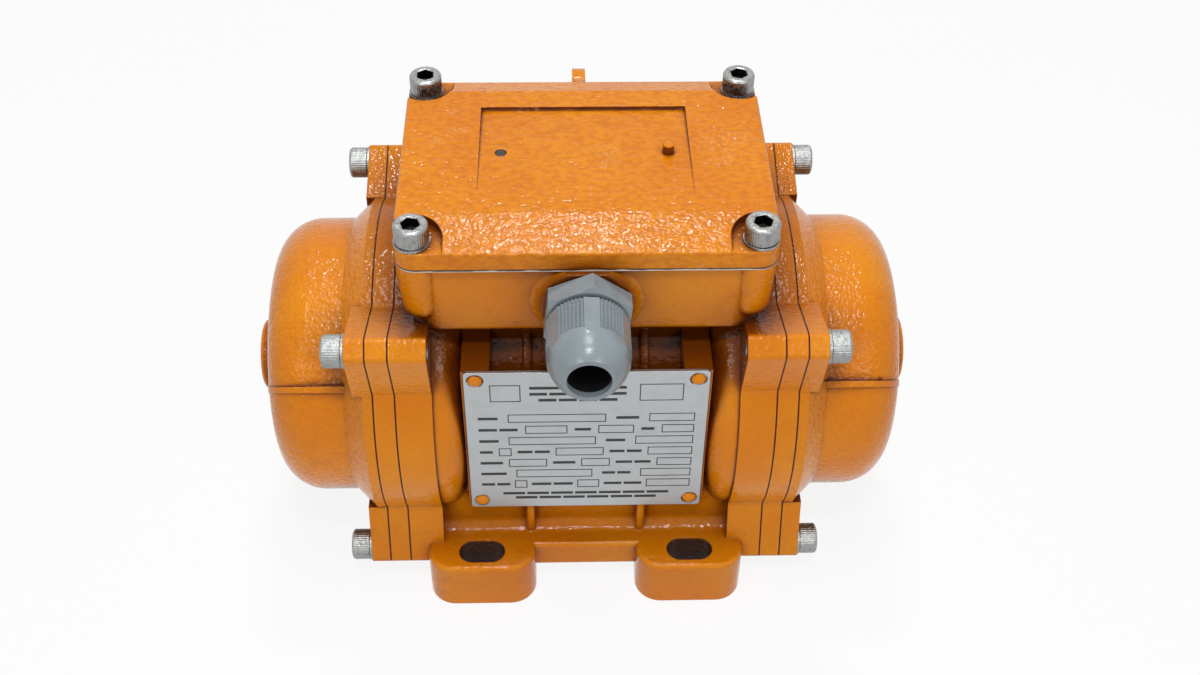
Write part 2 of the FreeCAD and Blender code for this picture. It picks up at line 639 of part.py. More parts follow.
# ---------------------------------------------------------------- stator and rotor
def stator_slots(width, inner, outer):
    """Radial bars on the stator's slot pattern."""
    bar = block(-CORE_HALF - 1, CORE_HALF + 1, -width / 2, width / 2,
                SHAFT_HEIGHT + inner, SHAFT_HEIGHT + outer)
    turns = [bar.copy().rotate(CENTRE, X_AXIS, 360 * slot / SLOT_COUNT) for slot in range(SLOT_COUNT)]
    return Part.makeCompound(turns)


def stator_core():
    """Laminated stator, pressed in the casing bore, with half-closed slots."""
    slot_inner = STATOR_BORE_R + STATOR_TOOTH_TIP
    core = ring(-CORE_HALF, CORE_HALF, STATOR_BORE_R, BORE_R - SEAT_GAP)
    core = core.cut(stator_slots(STATOR_SLOT_MOUTH, STATOR_BORE_R - 1, slot_inner + 1))
    return core.cut(stator_slots(STATOR_SLOT_W, slot_inner, slot_inner + STATOR_SLOT_DEPTH))


def stator_windings():
    """Copper in the slots, joined at each end by a rounded overhang."""
    inner = STATOR_BORE_R + STATOR_TOOTH_TIP + WINDING_GAP
    outer = inner + STATOR_SLOT_DEPTH - 2 * WINDING_GAP
    shapes = [stator_slots(STATOR_SLOT_W - 2 * WINDING_GAP, inner, outer)]
    head_start = CORE_HALF + WINDING_GAP
    head_end = CORE_HALF + WINDING_OVERHANG
    for x0, x1 in ((head_start, head_end), (-head_end, -head_start)):
        overhang = ring(x0, x1, inner, outer)
        circles = [edge for edge in overhang.Edges if len(edge.Vertexes) == 1]
        shapes.append(overhang.makeFillet(WINDING_ROUND, circles))
    return joined(shapes)


def motor_lead(duct_y, stud_y):
    """One lead: up from the windings, round a bend and level to the tag on its terminal stud."""
    start_z = SHAFT_HEIGHT + STATOR_BORE_R + STATOR_TOOTH_TIP + STATOR_SLOT_DEPTH
    tag_z = BOX_DECK + BLOCK_T + NUT_T
    run_z = tag_z + TAG_T + LEAD_R
    corner = Vector(DUCT_X, duct_y, run_z)
    stud = Vector(-STUD_PITCH_X / 2, stud_y, run_z)
    level = stud.sub(corner).normalize()
    bend = 3 * LEAD_R
    rise_end = corner - Z_AXIS * bend
    section = Part.Face(Part.Wire([Part.makeCircle(LEAD_R, rise_end, Z_AXIS)]))
    elbow = section.revolve(rise_end + level * bend, Z_AXIS.cross(level), 90)
    tag = washer(STUD_R + THREAD_GAP, TAG_R, TAG_T)
    tag.translate(Vector(stud.x, stud.y, tag_z))
    tongue_end = stud - level * (STUD_R + LEAD_R)
    crimp = rod(LEAD_R, tongue_end - Z_AXIS * (LEAD_R + TAG_T / 2), tongue_end)
    return joined([rod(LEAD_R, Vector(DUCT_X, duct_y, start_z), rise_end), elbow,
                   rod(LEAD_R, corner + level * bend, tongue_end), tag, crimp])


def motor_leads():
    """Three leads through the duct to the inner row of terminal studs."""
    return Part.makeCompound([motor_lead(n * LEAD_PITCH, BLOCK_CENTRE_Y + n * STUD_PITCH_Y)
                              for n in (-1, 0, 1)])


def rotor_core():
    """Laminated rotor pressed on the shaft, drilled for the cage bars."""
    core = ring(-CORE_HALF, CORE_HALF, SHAFT_CORE_R + SEAT_GAP, ROTOR_R)
    return core.cut(rotor_bars(ROTOR_BAR_R + SEAT_GAP))


def rotor_bars(radius):
    """Bars of the squirrel cage."""
    pitch_r = ROTOR_R - ROTOR_BAR_COVER - ROTOR_BAR_R
    start = Vector(-CORE_HALF - 1, 0, SHAFT_HEIGHT + pitch_r)
    bar = rod(radius, start, start + X_AXIS * (STATOR_LENGTH + 2))
    turns = [bar.copy().rotate(CENTRE, X_AXIS, 360 * n / ROTOR_BAR_COUNT) for n in range(ROTOR_BAR_COUNT)]
    return Part.makeCompound(turns)


def rotor_cage():
    """Cast aluminium cage: bars and both end rings in one piece."""
    outer = ROTOR_R - ROTOR_BAR_COVER / 2
    inner = outer - END_RING_WALL
    face = CORE_HALF + SEAT_GAP
    ends = [ring(face, face + END_RING_T, inner, outer), ring(-face - END_RING_T, -face, inner, outer)]
    return joined([rotor_bars(ROTOR_BAR_R)] + ends)


def rotor_shaft():
    """Stepped shaft: core seat, bearing journals and the turned ends that carry the weights."""
    half = [(0, SHAFT_CORE_R), (CORE_HALF + END_RING_T, SHAFT_CORE_R),
            (CORE_HALF + END_RING_T, SHAFT_SHOULDER_R), (BEARING_X, SHAFT_SHOULDER_R),
            (BEARING_X, BEARING_BORE_R), (SPACER_OUT_X, BEARING_BORE_R), (SPACER_OUT_X, SHAFT_END_R),
            (SHAFT_CLIP_X, SHAFT_END_R), (SHAFT_CLIP_X, SHAFT_END_R - SHAFT_CLIP_DEPTH),
            (SHAFT_CLIP_X + SHAFT_CLIP_T, SHAFT_END_R - SHAFT_CLIP_DEPTH),
            (SHAFT_CLIP_X + SHAFT_CLIP_T, SHAFT_END_R), (SHAFT_HALF - SHAFT_CHAMFER, SHAFT_END_R),
            (SHAFT_HALF, SHAFT_END_R - SHAFT_CHAMFER), (SHAFT_HALF, 0), (0, 0)]
    right = turned(half)
    keyway = key_block(KEY_SIDE_GAP, 0)
    return joined([right, mirrored(right)]).cut(Part.makeCompound([keyway, mirrored(keyway)]))


# ---------------------------------------------------------------- bearings and their flanges
def race_groove(clearance):
    """Ring-shaped track of the ball row."""
    middle = Vector(BEARING_X + BEARING_WIDTH / 2, 0, SHAFT_HEIGHT)
    return Part.makeTorus(BALL_PITCH_R, BALL_R + clearance, middle, X_AXIS)


def bearing_outer_ring():
    """Outer race, a light fit in the bearing flange."""
    body = ring(BEARING_X, BEARING_OUT_X, OUTER_LAND_R, BEARING_R - SEAT_GAP)
    return body.cut(race_groove(RACE_GAP))


def bearing_inner_ring():
    """Inner race, pressed on the shaft journal."""
    body = ring(BEARING_X, BEARING_OUT_X, BEARING_BORE_R + SEAT_GAP, INNER_LAND_R)
    return body.cut(race_groove(RACE_GAP))


def ball_places():
    """Centres of the balls."""
    top = Vector(BEARING_X + BEARING_WIDTH / 2, 0, SHAFT_HEIGHT + BALL_PITCH_R)
    places = []
    for n in range(BALL_COUNT):
        turn = FreeCAD.Rotation(X_AXIS, 360 * n / BALL_COUNT)
        places.append(CENTRE + turn.multVec(top - CENTRE))
    return places


def bearing_balls():
    """The row of separate balls."""
    return Part.makeCompound([Part.makeSphere(BALL_R, place) for place in ball_places()])


def bearing_cage():
    """Moulded cage: a band between the races with a pocket round each ball."""
    land_gap = 4 * RACE_GAP
    middle = BEARING_X + BEARING_WIDTH / 2
    band = ring(middle - CAGE_HALF, middle + CAGE_HALF, INNER_LAND_R + land_gap, OUTER_LAND_R - land_gap)
    pockets = [Part.makeSphere(BALL_R + RACE_GAP, place) for place in ball_places()]
    return band.cut(Part.makeCompound(pockets))


def seal_groove(x, bore):
    """Groove for an O-ring in a register that enters a bore."""
    floor = bore - 2 * (SEAL_R + SEAT_GAP)
    return ring(x - SEAL_R - CLIP_GAP, x + SEAL_R + CLIP_GAP, floor, bore + 1)


def seal_ring(x, bore):
    """O-ring that closes a register against its bore."""
    middle = Vector(x, 0, SHAFT_HEIGHT)
    return Part.makeTorus(bore - SEAL_R - SEAT_GAP, SEAL_R, middle, X_AXIS)


def bearing_flange():
    """Right end shield: bearing hub, ribbed web, and a register into the casing and the cover."""
    hub_r = BEARING_R + HUB_WALL
    spigot_r, spigot_inner = BORE_R - REGISTER_GAP, BORE_R - REGISTER_WALL
    register_r = COVER_BORE_R - REGISTER_GAP
    register_inner = register_r - REGISTER_WALL
    spigot_x, register_x = CASING_HALF - SPIGOT_LENGTH, COVER_JOINT_X + REGISTER_LENGTH
    clip_end = BEARING_OUT_X + BEARING_CLIP_T + 2 * CLIP_GAP
    clip_r = BEARING_R + BEARING_CLIP_DEPTH
    lip_x = BEARING_X - HUB_LIP
    outline = [(lip_x, LIP_BORE_R), (lip_x, hub_r), (CASING_HALF, hub_r), (CASING_HALF, spigot_inner),
               (spigot_x, spigot_inner), (spigot_x, spigot_r), (CASING_HALF, spigot_r),
               (COVER_JOINT_X, spigot_r), (COVER_JOINT_X, register_r), (register_x, register_r),
               (register_x, register_inner), (COVER_JOINT_X, register_inner), (COVER_JOINT_X, hub_r),
               (HUB_OUT_X, hub_r), (HUB_OUT_X, BEARING_R), (clip_end, BEARING_R), (clip_end, clip_r),
               (BEARING_OUT_X, clip_r), (BEARING_OUT_X, BEARING_R), (BEARING_X, BEARING_R),
               (BEARING_X, LIP_BORE_R)]
    plate = flange_slab(CASING_HALF, COVER_JOINT_X).cut(shaft_rod(hub_r, CASING_HALF - 1, COVER_JOINT_X + 1))
    rib = block(spigot_x, CASING_HALF + 1, -THIN_RIB / 2, THIN_RIB / 2,
                SHAFT_HEIGHT + hub_r - 1, SHAFT_HEIGHT + spigot_inner + 1)
    ribs_round = [rib.copy().rotate(CENTRE, X_AXIS, 360 * n / FLANGE_RIBS) for n in range(FLANGE_RIBS)]
    shield = joined([plate, turned(outline)] + ribs_round)
    cuts = [seal_groove(SPIGOT_SEAL_X, BORE_R), seal_groove(REGISTER_SEAL_X, COVER_BORE_R)]
    cuts += screw_passages(CASING_HALF, COVER_JOINT_X)
    return shield.cut(Part.makeCompound(cuts))


def screw_passages(x0, x1):
    """Clearance holes for the four cover screws."""
    radius = M6_R + CLEARANCE_HOLE
    return [rod(radius, Vector(x0 - 1, y, z), Vector(x1 + 1, y, z)) for y, z in EAR_SCREWS]


def bearing_clip():
    """Internal retaining ring that keeps the bearing in its hub."""
    start = BEARING_OUT_X + CLIP_GAP
    body = ring(start, start + BEARING_CLIP_T, BEARING_R - BEARING_CLIP_WIDTH,
                BEARING_R + BEARING_CLIP_DEPTH - CLIP_GAP)
    gap = block(start - 1, start + BEARING_CLIP_T + 1, -CLIP_OPENING / 2, CLIP_OPENING / 2,
                SHAFT_HEIGHT, SHAFT_HEIGHT + 2 * BEARING_R)
    return body.cut(gap)


# ---------------------------------------------------------------- weight covers
def cup(radius, crown_x, dome_r, shoulder):
    """Domed cup about the shaft axis, open towards the joint with the bearing flange."""
    rim_x = crown_x - dome_r + math.sqrt(dome_r ** 2 - radius ** 2)
    half_r = radius / 2
    half_x = crown_x - dome_r + math.sqrt(dome_r ** 2 - half_r ** 2)
    corners = [Vector(COVER_JOINT_X, 0, SHAFT_HEIGHT), Vector(COVER_JOINT_X, 0, SHAFT_HEIGHT + radius),
               Vector(rim_x, 0, SHAFT_HEIGHT + radius)]
    crown = Vector(crown_x, 0, SHAFT_HEIGHT)
    edges = [Part.makeLine(corners[0], corners[1]), Part.makeLine(corners[1], corners[2]),
             Part.Arc(corners[2], Vector(half_x, 0, SHAFT_HEIGHT + half_r), crown).toShape(),
             Part.makeLine(crown, corners[0])]
    solid = Part.Face(Part.Wire(edges)).revolve(CENTRE, X_AXIS, 360)
    rim = [e for e in solid.Edges if abs(e.BoundBox.XMin - rim_x) < 0.01 and e.BoundBox.XLength < 0.01]
    return solid.makeFillet(shoulder, rim)


def weight_cover():
    """Right weight cover: eared rim, coned root, domed cup, crown boss and one chordal fin."""
    outside = cup(COVER_R, DOME_X, DOME_R, COVER_SHOULDER_R)
    inside = cup(COVER_BORE_R, DOME_X - COVER_WALL, DOME_R - COVER_WALL, COVER_SHOULDER_R - COVER_WALL)
    root_x = COVER_JOINT_X + COVER_RIM
    cone_rise = FLANGE_R - COVER_R
    rim = turned([(COVER_JOINT_X, 0), (COVER_JOINT_X, FLANGE_R), (root_x, FLANGE_R),
                  (root_x + cone_rise, COVER_R), (root_x + cone_rise, 0)])
    slab = flange_slab(COVER_JOINT_X, COVER_EAR_X)
    kink_y = FLANGE_R * math.sin(math.radians(EAR_KINK))
    corners = [block(COVER_JOINT_X, COVER_EAR_X, *sorted((side_y * kink_y, side_y * FLANGE_R)),
                     *sorted((SHAFT_HEIGHT + side_z * kink_y, SHAFT_HEIGHT + side_z * FLANGE_R)))
               for side_y in (-1, 1) for side_z in (-1, 1)]
    ears = slab.common(Part.makeCompound(corners))
    crown_x = DOME_X + COVER_BOSS_RISE
    boss = shaft_rod(COVER_BOSS_R, DOME_X - COVER_WALL, crown_x)
    boss = boss.makeFillet(COVER_BOSS_ROUND, [e for e in boss.Edges if e.BoundBox.XMin > crown_x - 0.01])
    fin_body = cup(COVER_R + COVER_FIN_RISE, DOME_X + COVER_FIN_FADE, DOME_R,
                   COVER_SHOULDER_R + COVER_FIN_RISE)
    fin = fin_body.common(fin_slab())
    cover = joined([outside, rim, ears, boss, fin]).cut(inside)
    return cover.cut(Part.makeCompound(screw_passages(COVER_JOINT_X, COVER_EAR_X)))


def fin_slab():
    """Plane slice, parallel to the diagonal between two ears, that touches the crown boss."""
    low = COVER_BOSS_R - COVER_FIN_T / 2
    slab = block(COVER_JOINT_X, 2 * DOME_X, -FLANGE_R, FLANGE_R,
                 SHAFT_HEIGHT - low - COVER_FIN_T, SHAFT_HEIGHT - low)
    return slab.rotate(CENTRE, X_AXIS, -45)


def cover_screws():
    """Four screws through the right cover and bearing flange into the casing."""
    screw = cap_screw(M6_R, COVER_SCREW_LENGTH, M6_HEAD_R, M6_HEAD_H, M6_SOCKET)
    seat = COVER_EAR_X + WASHER_T
    return Part.makeCompound([aimed(screw, Vector(seat, y, z), X_AXIS) for y, z in EAR_SCREWS])


def cover_washers():
    """Washers under the right cover's screw heads."""
    disc = washer(M6_R + CLEARANCE_HOLE, WASHER_R, WASHER_T)
    return Part.makeCompound([aimed(disc, Vector(COVER_EAR_X, y, z), X_AXIS) for y, z in EAR_SCREWS])


# ---------------------------------------------------------------- eccentric weights
def key_block(gap, top_gap):
    """Parallel key between the shaft and the fixed weight, widened by a gap."""
    half = KEY_SIZE / 2 + gap
    bottom = SHAFT_HEIGHT + SHAFT_END_R - KEY_DEPTH - gap
    return block(SPACER_OUT_X, FIXED_OUT_X, -half, half, bottom,
                 SHAFT_HEIGHT + SHAFT_END_R - KEY_DEPTH + KEY_SIZE + top_gap)


def half_disc(x0, x1):
    """Eccentric plate: lower half disc with a hub round the shaft."""
    disc = shaft_rod(WEIGHT_R, x0, x1)
    top = block(x0, x1, -2 * WEIGHT_R, 2 * WEIGHT_R, SHAFT_HEIGHT + WEIGHT_SHOULDER,
                SHAFT_HEIGHT + 2 * WEIGHT_R)
    lower = disc.cut(top)
    shoulders = [e for e in edges_along(lower, X_AXIS) if e.BoundBox.ZMin > SHAFT_HEIGHT]
    lower = lower.makeFillet(WEIGHT_ROUND, shoulders)
    return lower.fuse(shaft_rod(WEIGHT_HUB_R, x0, x1))


def fixed_weight():
    """Right inner weight, keyed to the shaft."""
    plate = half_disc(SPACER_OUT_X, FIXED_OUT_X)
    plate = plate.cut(shaft_rod(SHAFT_END_R + SEAT_GAP, SPACER_OUT_X - 1, FIXED_OUT_X + 1))
    return plate.cut(key_block(KEY_SIDE_GAP, KEY_TOP_GAP)).removeSplitter()


def adjustable_weight():
    """Right outer weight: clamped on the shaft by a slit hub, and turned to set the force."""
    bore_r = SHAFT_END_R + WEIGHT_BORE_GAP
    head = block(ADJUST_X, ADJUST_OUT_X, -CLAMP_HALF_Y, CLAMP_HALF_Y, SHAFT_HEIGHT,
                 SHAFT_HEIGHT + CLAMP_TOP)
    head = head.makeFillet(WEIGHT_ROUND, [e for e in edges_along(head, X_AXIS)
                                          if e.BoundBox.ZMin > SHAFT_HEIGHT + 1])
    slit = block(ADJUST_X - 1, ADJUST_OUT_X + 1, -CLAMP_SLIT / 2, CLAMP_SLIT / 2, SHAFT_HEIGHT,
                 SHAFT_HEIGHT + CLAMP_TOP + 1)
    plate = joined([half_disc(ADJUST_X, ADJUST_OUT_X), head])
    middle = (ADJUST_X + ADJUST_OUT_X) / 2
    z = SHAFT_HEIGHT + CLAMP_SCREW_Z
    reach = 2 * CLAMP_HALF_Y
    plain = rod(M5_R + CLEARANCE_HOLE, Vector(middle, 0, z), Vector(middle, reach, z))
    tapped = rod(M5_R + THREAD_GAP, Vector(middle, -reach, z), Vector(middle, 0, z))
    seat = rod(M5_HEAD_R + CLEARANCE_HOLE, Vector(middle, CLAMP_SEAT_Y, z), Vector(middle, reach, z))
    cuts = [shaft_rod(bore_r, ADJUST_X - 1, ADJUST_OUT_X + 1), slit, plain, tapped, seat]
    return plate.cut(Part.makeCompound(cuts))


def clamp_screw():
    """Screw that closes the slit hub of the right adjustable weight."""
    screw = cap_screw(M5_R, CLAMP_SCREW_LENGTH, M5_HEAD_R, M5_HEAD_H, M5_SOCKET)
    middle = (ADJUST_X + ADJUST_OUT_X) / 2
    return aimed(screw, Vector(middle, CLAMP_SEAT_Y, SHAFT_HEIGHT + CLAMP_SCREW_Z), Y_AXIS)


def shaft_clip():
    """External retaining ring outside the adjustable weight."""
    body = ring(SHAFT_CLIP_X, SHAFT_CLIP_X + SHAFT_CLIP_T, SHAFT_END_R - SHAFT_CLIP_DEPTH + CLIP_GAP,
                SHAFT_CLIP_R)
    gap = block(SHAFT_CLIP_X - 1, SHAFT_CLIP_X + SHAFT_CLIP_T + 1, -CLIP_OPENING / 2, CLIP_OPENING / 2,
                SHAFT_HEIGHT, SHAFT_HEIGHT + 2 * SHAFT_CLIP_R)
    return body.cut(gap)


# ---------------------------------------------------------------- lid and terminals
def rim_gasket():
    """Flat gasket between the box rim and the lid."""
    plate = Part.Face(rounded_rectangle(LID_HALF_X, LID_HALF_Y, BOX_TOP, LID_CORNER))
    plate = plate.extrude(Z_AXIS * GASKET_T)
    return plate.cut(Part.makeCompound([lid_hollow(BOX_TOP, LID_BOTTOM)] + lid_screw_passages()))


def lid_hollow(z0, z1):
    """Opening within the rim, clear of the four screw corners."""
    inner = rounded_rectangle(BOX_HALF_X - BOX_WALL, BOX_HALF_Y - BOX_WALL, z0, BOX_CORNER - BOX_WALL)
    hollow = Part.Face(inner).extrude(Z_AXIS * (z1 - z0))
    columns = [rod(PILLAR_R, Vector(x, y, z0 - PAST), Vector(x, y, z1 + PAST)) for x, y in PILLARS]
    return hollow.cut(Part.makeCompound(columns))


def lid_screw_passages():
    """Clearance holes for the lid screws."""
    radius = M6_R + CLEARANCE_HOLE
    return [rod(radius, Vector(x, y, BOX_TOP - 1), Vector(x, y, LID_TOP + 1)) for x, y in LID_SCREWS]


def lid_pocket(x, y):
    """Sunk seat for a lid screw, open towards the lid's front or back edge."""
    outwards = 1 if y > BOX_CENTRE_Y else -1
    y0, y1 = sorted((y, y + outwards * LID_HALF_Y))
    trough = block(x - POCKET_R, x + POCKET_R, y0, y1, LID_SHELF, LID_TOP + 1)
    return trough.fuse(rod(POCKET_R, Vector(x, y, LID_SHELF), Vector(x, y, LID_TOP + 1)))


def field_floor(y):
    """Height of the sunk label field's sloping floor."""
    return LID_TOP - FIELD_DEPTH * (y - FIELD_FRONT) / (FIELD_BACK - FIELD_FRONT)


def terminal_cover():
    """Cast lid with front and back slopes, screw pockets, sunk label field and hollow underside."""
    front, back = BOX_CENTRE_Y - LID_HALF_Y, BOX_CENTRE_Y + LID_HALF_Y
    corners = [(front, LID_BOTTOM), (front, LID_SHELF), (front + LID_SLOPE_FRONT, LID_TOP),
               (back - LID_SLOPE_BACK, LID_TOP), (back, LID_SHELF), (back, LID_BOTTOM)]
    corners = [Vector(-LID_HALF_X, y, z) for y, z in corners]
    lid = Part.Face(Part.makePolygon(corners + corners[:1])).extrude(X_AXIS * 2 * LID_HALF_X)
    plan = Part.Face(rounded_rectangle(LID_HALF_X, LID_HALF_Y, LID_BOTTOM, LID_CORNER))
    lid = lid.common(plan.extrude(Z_AXIS * 2 * LID_EDGE))
    softened = [e for e in lid.Edges if e.BoundBox.ZMin > LID_SHELF - 0.01]
    lid = lid.makeFillet(LID_ROUND, softened)
    field_corners = [(FIELD_FRONT, LID_TOP), (FIELD_BACK, LID_TOP + 1), (FIELD_BACK, LID_TOP - FIELD_DEPTH)]
    field_corners = [Vector(-FIELD_HALF_X, y, z) for y, z in field_corners]
    field = Part.Face(Part.makePolygon(field_corners + field_corners[:1])).extrude(X_AXIS * 2 * FIELD_HALF_X)
    cuts = [field, lid_hollow(LID_BOTTOM, LID_TOP - LID_TOP_WALL)] + lid_screw_passages()
    cuts += [lid_pocket(x, y) for x, y in LID_SCREWS]
    for side in (-1, 1):
        x = side * LABEL_PIN_X
        bottom = field_floor(LABEL_PIN_Y) - LABEL_PIN_LENGTH
        cuts.append(rod(LABEL_PIN_R + THREAD_GAP, Vector(x, LABEL_PIN_Y, bottom),
                        Vector(x, LABEL_PIN_Y, LID_TOP + 1)))
    return lid.cut(Part.makeCompound(cuts))


def label_pin(x, rise):
    """Pin in the label field, standing proud of its floor by a rise."""
    top = field_floor(LABEL_PIN_Y)
    start = Vector(x, LABEL_PIN_Y, top - LABEL_PIN_LENGTH)
    pin = rod(LABEL_PIN_R, start, Vector(x, LABEL_PIN_Y, top + rise))
    crown = [e for e in pin.Edges if e.BoundBox.ZMin > top + rise - 0.01]
    return pin.makeChamfer(LABEL_PIN_R / 6, crown)


def lid_screws():
    """Four socket head screws of the lid."""
    screw = cap_screw(M6_R, LID_SCREW_LENGTH, M6_HEAD_R, M6_HEAD_H, M6_SOCKET)
    seat = LID_SHELF + WASHER_T
    return Part.makeCompound([aimed(screw, Vector(x, y, seat), Z_AXIS) for x, y in LID_SCREWS])


def lid_washers():
    """Washers under the lid screws."""
    disc = washer(M6_R + CLEARANCE_HOLE, WASHER_R, WASHER_T)
    return Part.makeCompound([aimed(disc, Vector(x, y, LID_SHELF), Z_AXIS) for x, y in LID_SCREWS])


def stud_places():
    """Plan positions of the terminal studs."""
    return [(column * STUD_PITCH_X / 2, BLOCK_CENTRE_Y + row * STUD_PITCH_Y)
            for column in (-1, 1) for row in (-1, 0, 1)]


def terminal_block():
    """Moulded block on the box floor, with barriers between the rows of studs."""
    base = block(-BLOCK_HALF_X, BLOCK_HALF_X, BLOCK_CENTRE_Y - BLOCK_HALF_Y,
                 BLOCK_CENTRE_Y + BLOCK_HALF_Y, BOX_DECK, BOX_DECK + BLOCK_T)
    base = base.makeFillet(BLOCK_ROUND, edges_along(base, Z_AXIS))
    shapes = [base]
    for row in (-0.5, 0.5):
        middle = BLOCK_CENTRE_Y + row * STUD_PITCH_Y
        shapes.append(block(-BLOCK_HALF_X / 2, BLOCK_HALF_X, middle - BARRIER_T / 2, middle + BARRIER_T / 2,
                            BOX_DECK + BLOCK_T - 1, BOX_DECK + BLOCK_T + BARRIER_HEIGHT))
    holes = [rod(STUD_R + THREAD_GAP, Vector(x, y, BOX_DECK + STUD_FOOT), Vector(x, y, BOX_TOP))
             for x, y in stud_places()]
    return joined(shapes).cut(Part.makeCompound(holes))


def terminal_studs():
    """Brass studs set in the terminal block."""
    start = BOX_DECK + STUD_FOOT
    return Part.makeCompound([rod(STUD_R, Vector(x, y, start), Vector(x, y, start + STUD_HEIGHT))
                              for x, y in stud_places()])


def terminal_nuts():
    """One nut on each stud."""
    nut = hexagon(NUT_FLATS, NUT_T).cut(Part.makeCylinder(STUD_R + THREAD_GAP, 2 * NUT_T))
    base = BOX_DECK + BLOCK_T
    nuts = [aimed(nut, Vector(x, y, base), Z_AXIS) for x, y in stud_places()]
    return Part.makeCompound(nuts)


def earth_screw():
    """Cheese head earth screw in the box floor."""
    outline = [(-EARTH_SHANK, 0), (-EARTH_SHANK, M5_R), (0, M5_R), (0, M5_HEAD_R),
               (EARTH_HEAD_H, M5_HEAD_R), (EARTH_HEAD_H, 0)]
    screw = turned(outline, Vector(EARTH_X, EARTH_Y, BOX_DECK), Z_AXIS, X_AXIS)
    top = BOX_DECK + EARTH_HEAD_H
    slot = block(EARTH_X - M5_HEAD_R, EARTH_X + M5_HEAD_R, EARTH_Y - 0.5, EARTH_Y + 0.5, top - 1, top + 1)
    return screw.cut(slot)


# ---------------------------------------------------------------- cable gland
def gland_turned(outline):
    """Solid of revolution about the gland axis; distances run outwards from the boss face."""
    return turned(outline, Vector(0, GLAND_FACE, GLAND_Z), Vector(0, -1, 0), Z_AXIS)


def gland_body():
    """Threaded body: entry thread, spanner hexagon, clamping neck and through bore."""
    hex_front = GLAND_WASHER_T + GLAND_HEX_T
    neck_end = hex_front + GLAND_NECK
    inside = GLAND_FACE - BOX_FRONT - BOX_WALL - GLAND_THREAD_REACH
    shank = gland_turned([(inside, 0), (inside, GLAND_THREAD_R), (neck_end, GLAND_THREAD_R), (neck_end, 0)])
    spanner = hexagon(GLAND_HEX, GLAND_HEX_T, FLAT_UP - GLAND_HEX_TURN)
    spanner = spanner.common(hexagon_bevel())
    spanner = aimed(spanner, Vector(0, GLAND_HEX_BACK, GLAND_Z), Vector(0, -1, 0))
    seal_start = neck_end - GLAND_SEAL_SEAT
    bore = gland_turned([(inside - 1, 0), (inside - 1, GLAND_BORE_R), (seal_start, GLAND_BORE_R),
                         (seal_start, GLAND_SEAL_R + CLIP_GAP), (neck_end + 1, GLAND_SEAL_R + CLIP_GAP),
                         (neck_end + 1, 0)])
    return joined([shank, spanner]).cut(bore)


def hexagon_bevel():
    """Round envelope that takes the points off the spanner hexagon."""
    reach = GLAND_HEX / math.sqrt(3)
    bevel = reach - GLAND_HEX / 2
    outline = [(0, 0), (0, reach), (GLAND_HEX_T - bevel / 2, reach), (GLAND_HEX_T, reach - bevel),
               (GLAND_HEX_T, 0)]
    return turned(outline, Vector(0, 0, 0), Z_AXIS, X_AXIS)


def gland_washer():
    """Flat seal between the gland's hexagon and the boss."""
    return gland_turned([(0, GLAND_THREAD_R + CLIP_GAP), (0, GLAND_HEX / 2 - 1),
                         (GLAND_WASHER_T, GLAND_HEX / 2 - 1), (GLAND_WASHER_T, GLAND_THREAD_R + CLIP_GAP)])


def gland_seal():
    """Rubber sleeve that grips the cable, with a nose that fills the nut's cone."""
    neck_end = GLAND_WASHER_T + GLAND_HEX_T + GLAND_NECK
    start, end = neck_end - GLAND_SEAL_SEAT, neck_end + GLAND_SEAL_PROUD
    nose = GLAND_WASHER_T + GLAND_HEX_T + GLAND_NUT_LENGTH - GLAND_MOUTH_LAND - CLIP_GAP
    return gland_turned([(start, GLAND_SEAL_BORE_R), (start, GLAND_SEAL_R), (end, GLAND_SEAL_R),
                         (nose, GLAND_MOUTH_R), (nose, GLAND_SEAL_BORE_R)])


def gland_nut():
    """Dome nut: fluted skirt with six smooth lands, full dome and an open mouth."""
    back = GLAND_WASHER_T + GLAND_HEX_T + GLAND_NUT_GAP
    front = GLAND_WASHER_T + GLAND_HEX_T + GLAND_NUT_LENGTH
    nut = domed_skirt(back, front)
    lands = hexagon(GLAND_NUT_FLATS, front - back, FLUTE_TURN)
    nut = nut.common(aimed(lands, Vector(0, GLAND_FACE - back, GLAND_Z), Vector(0, -1, 0)))
    neck_end = GLAND_WASHER_T + GLAND_HEX_T + GLAND_NECK
    thread_end = neck_end + CLIP_GAP
    seal_end = neck_end + GLAND_SEAL_PROUD
    hollow = gland_turned([(back - PAST, 0), (back - PAST, GLAND_THREAD_R + GLAND_GAP),
                           (thread_end, GLAND_THREAD_R + GLAND_GAP),
                           (seal_end + CLIP_GAP, GLAND_SEAL_R + GLAND_GAP),
                           (front - GLAND_MOUTH_LAND, GLAND_MOUTH_R + GLAND_GAP),
                           (front - GLAND_MOUTH_LAND, GLAND_MOUTH_R), (front + PAST, GLAND_MOUTH_R),
                           (front + PAST, 0)])
    return nut.cut(Part.makeCompound([hollow] + gland_flutes(back)))


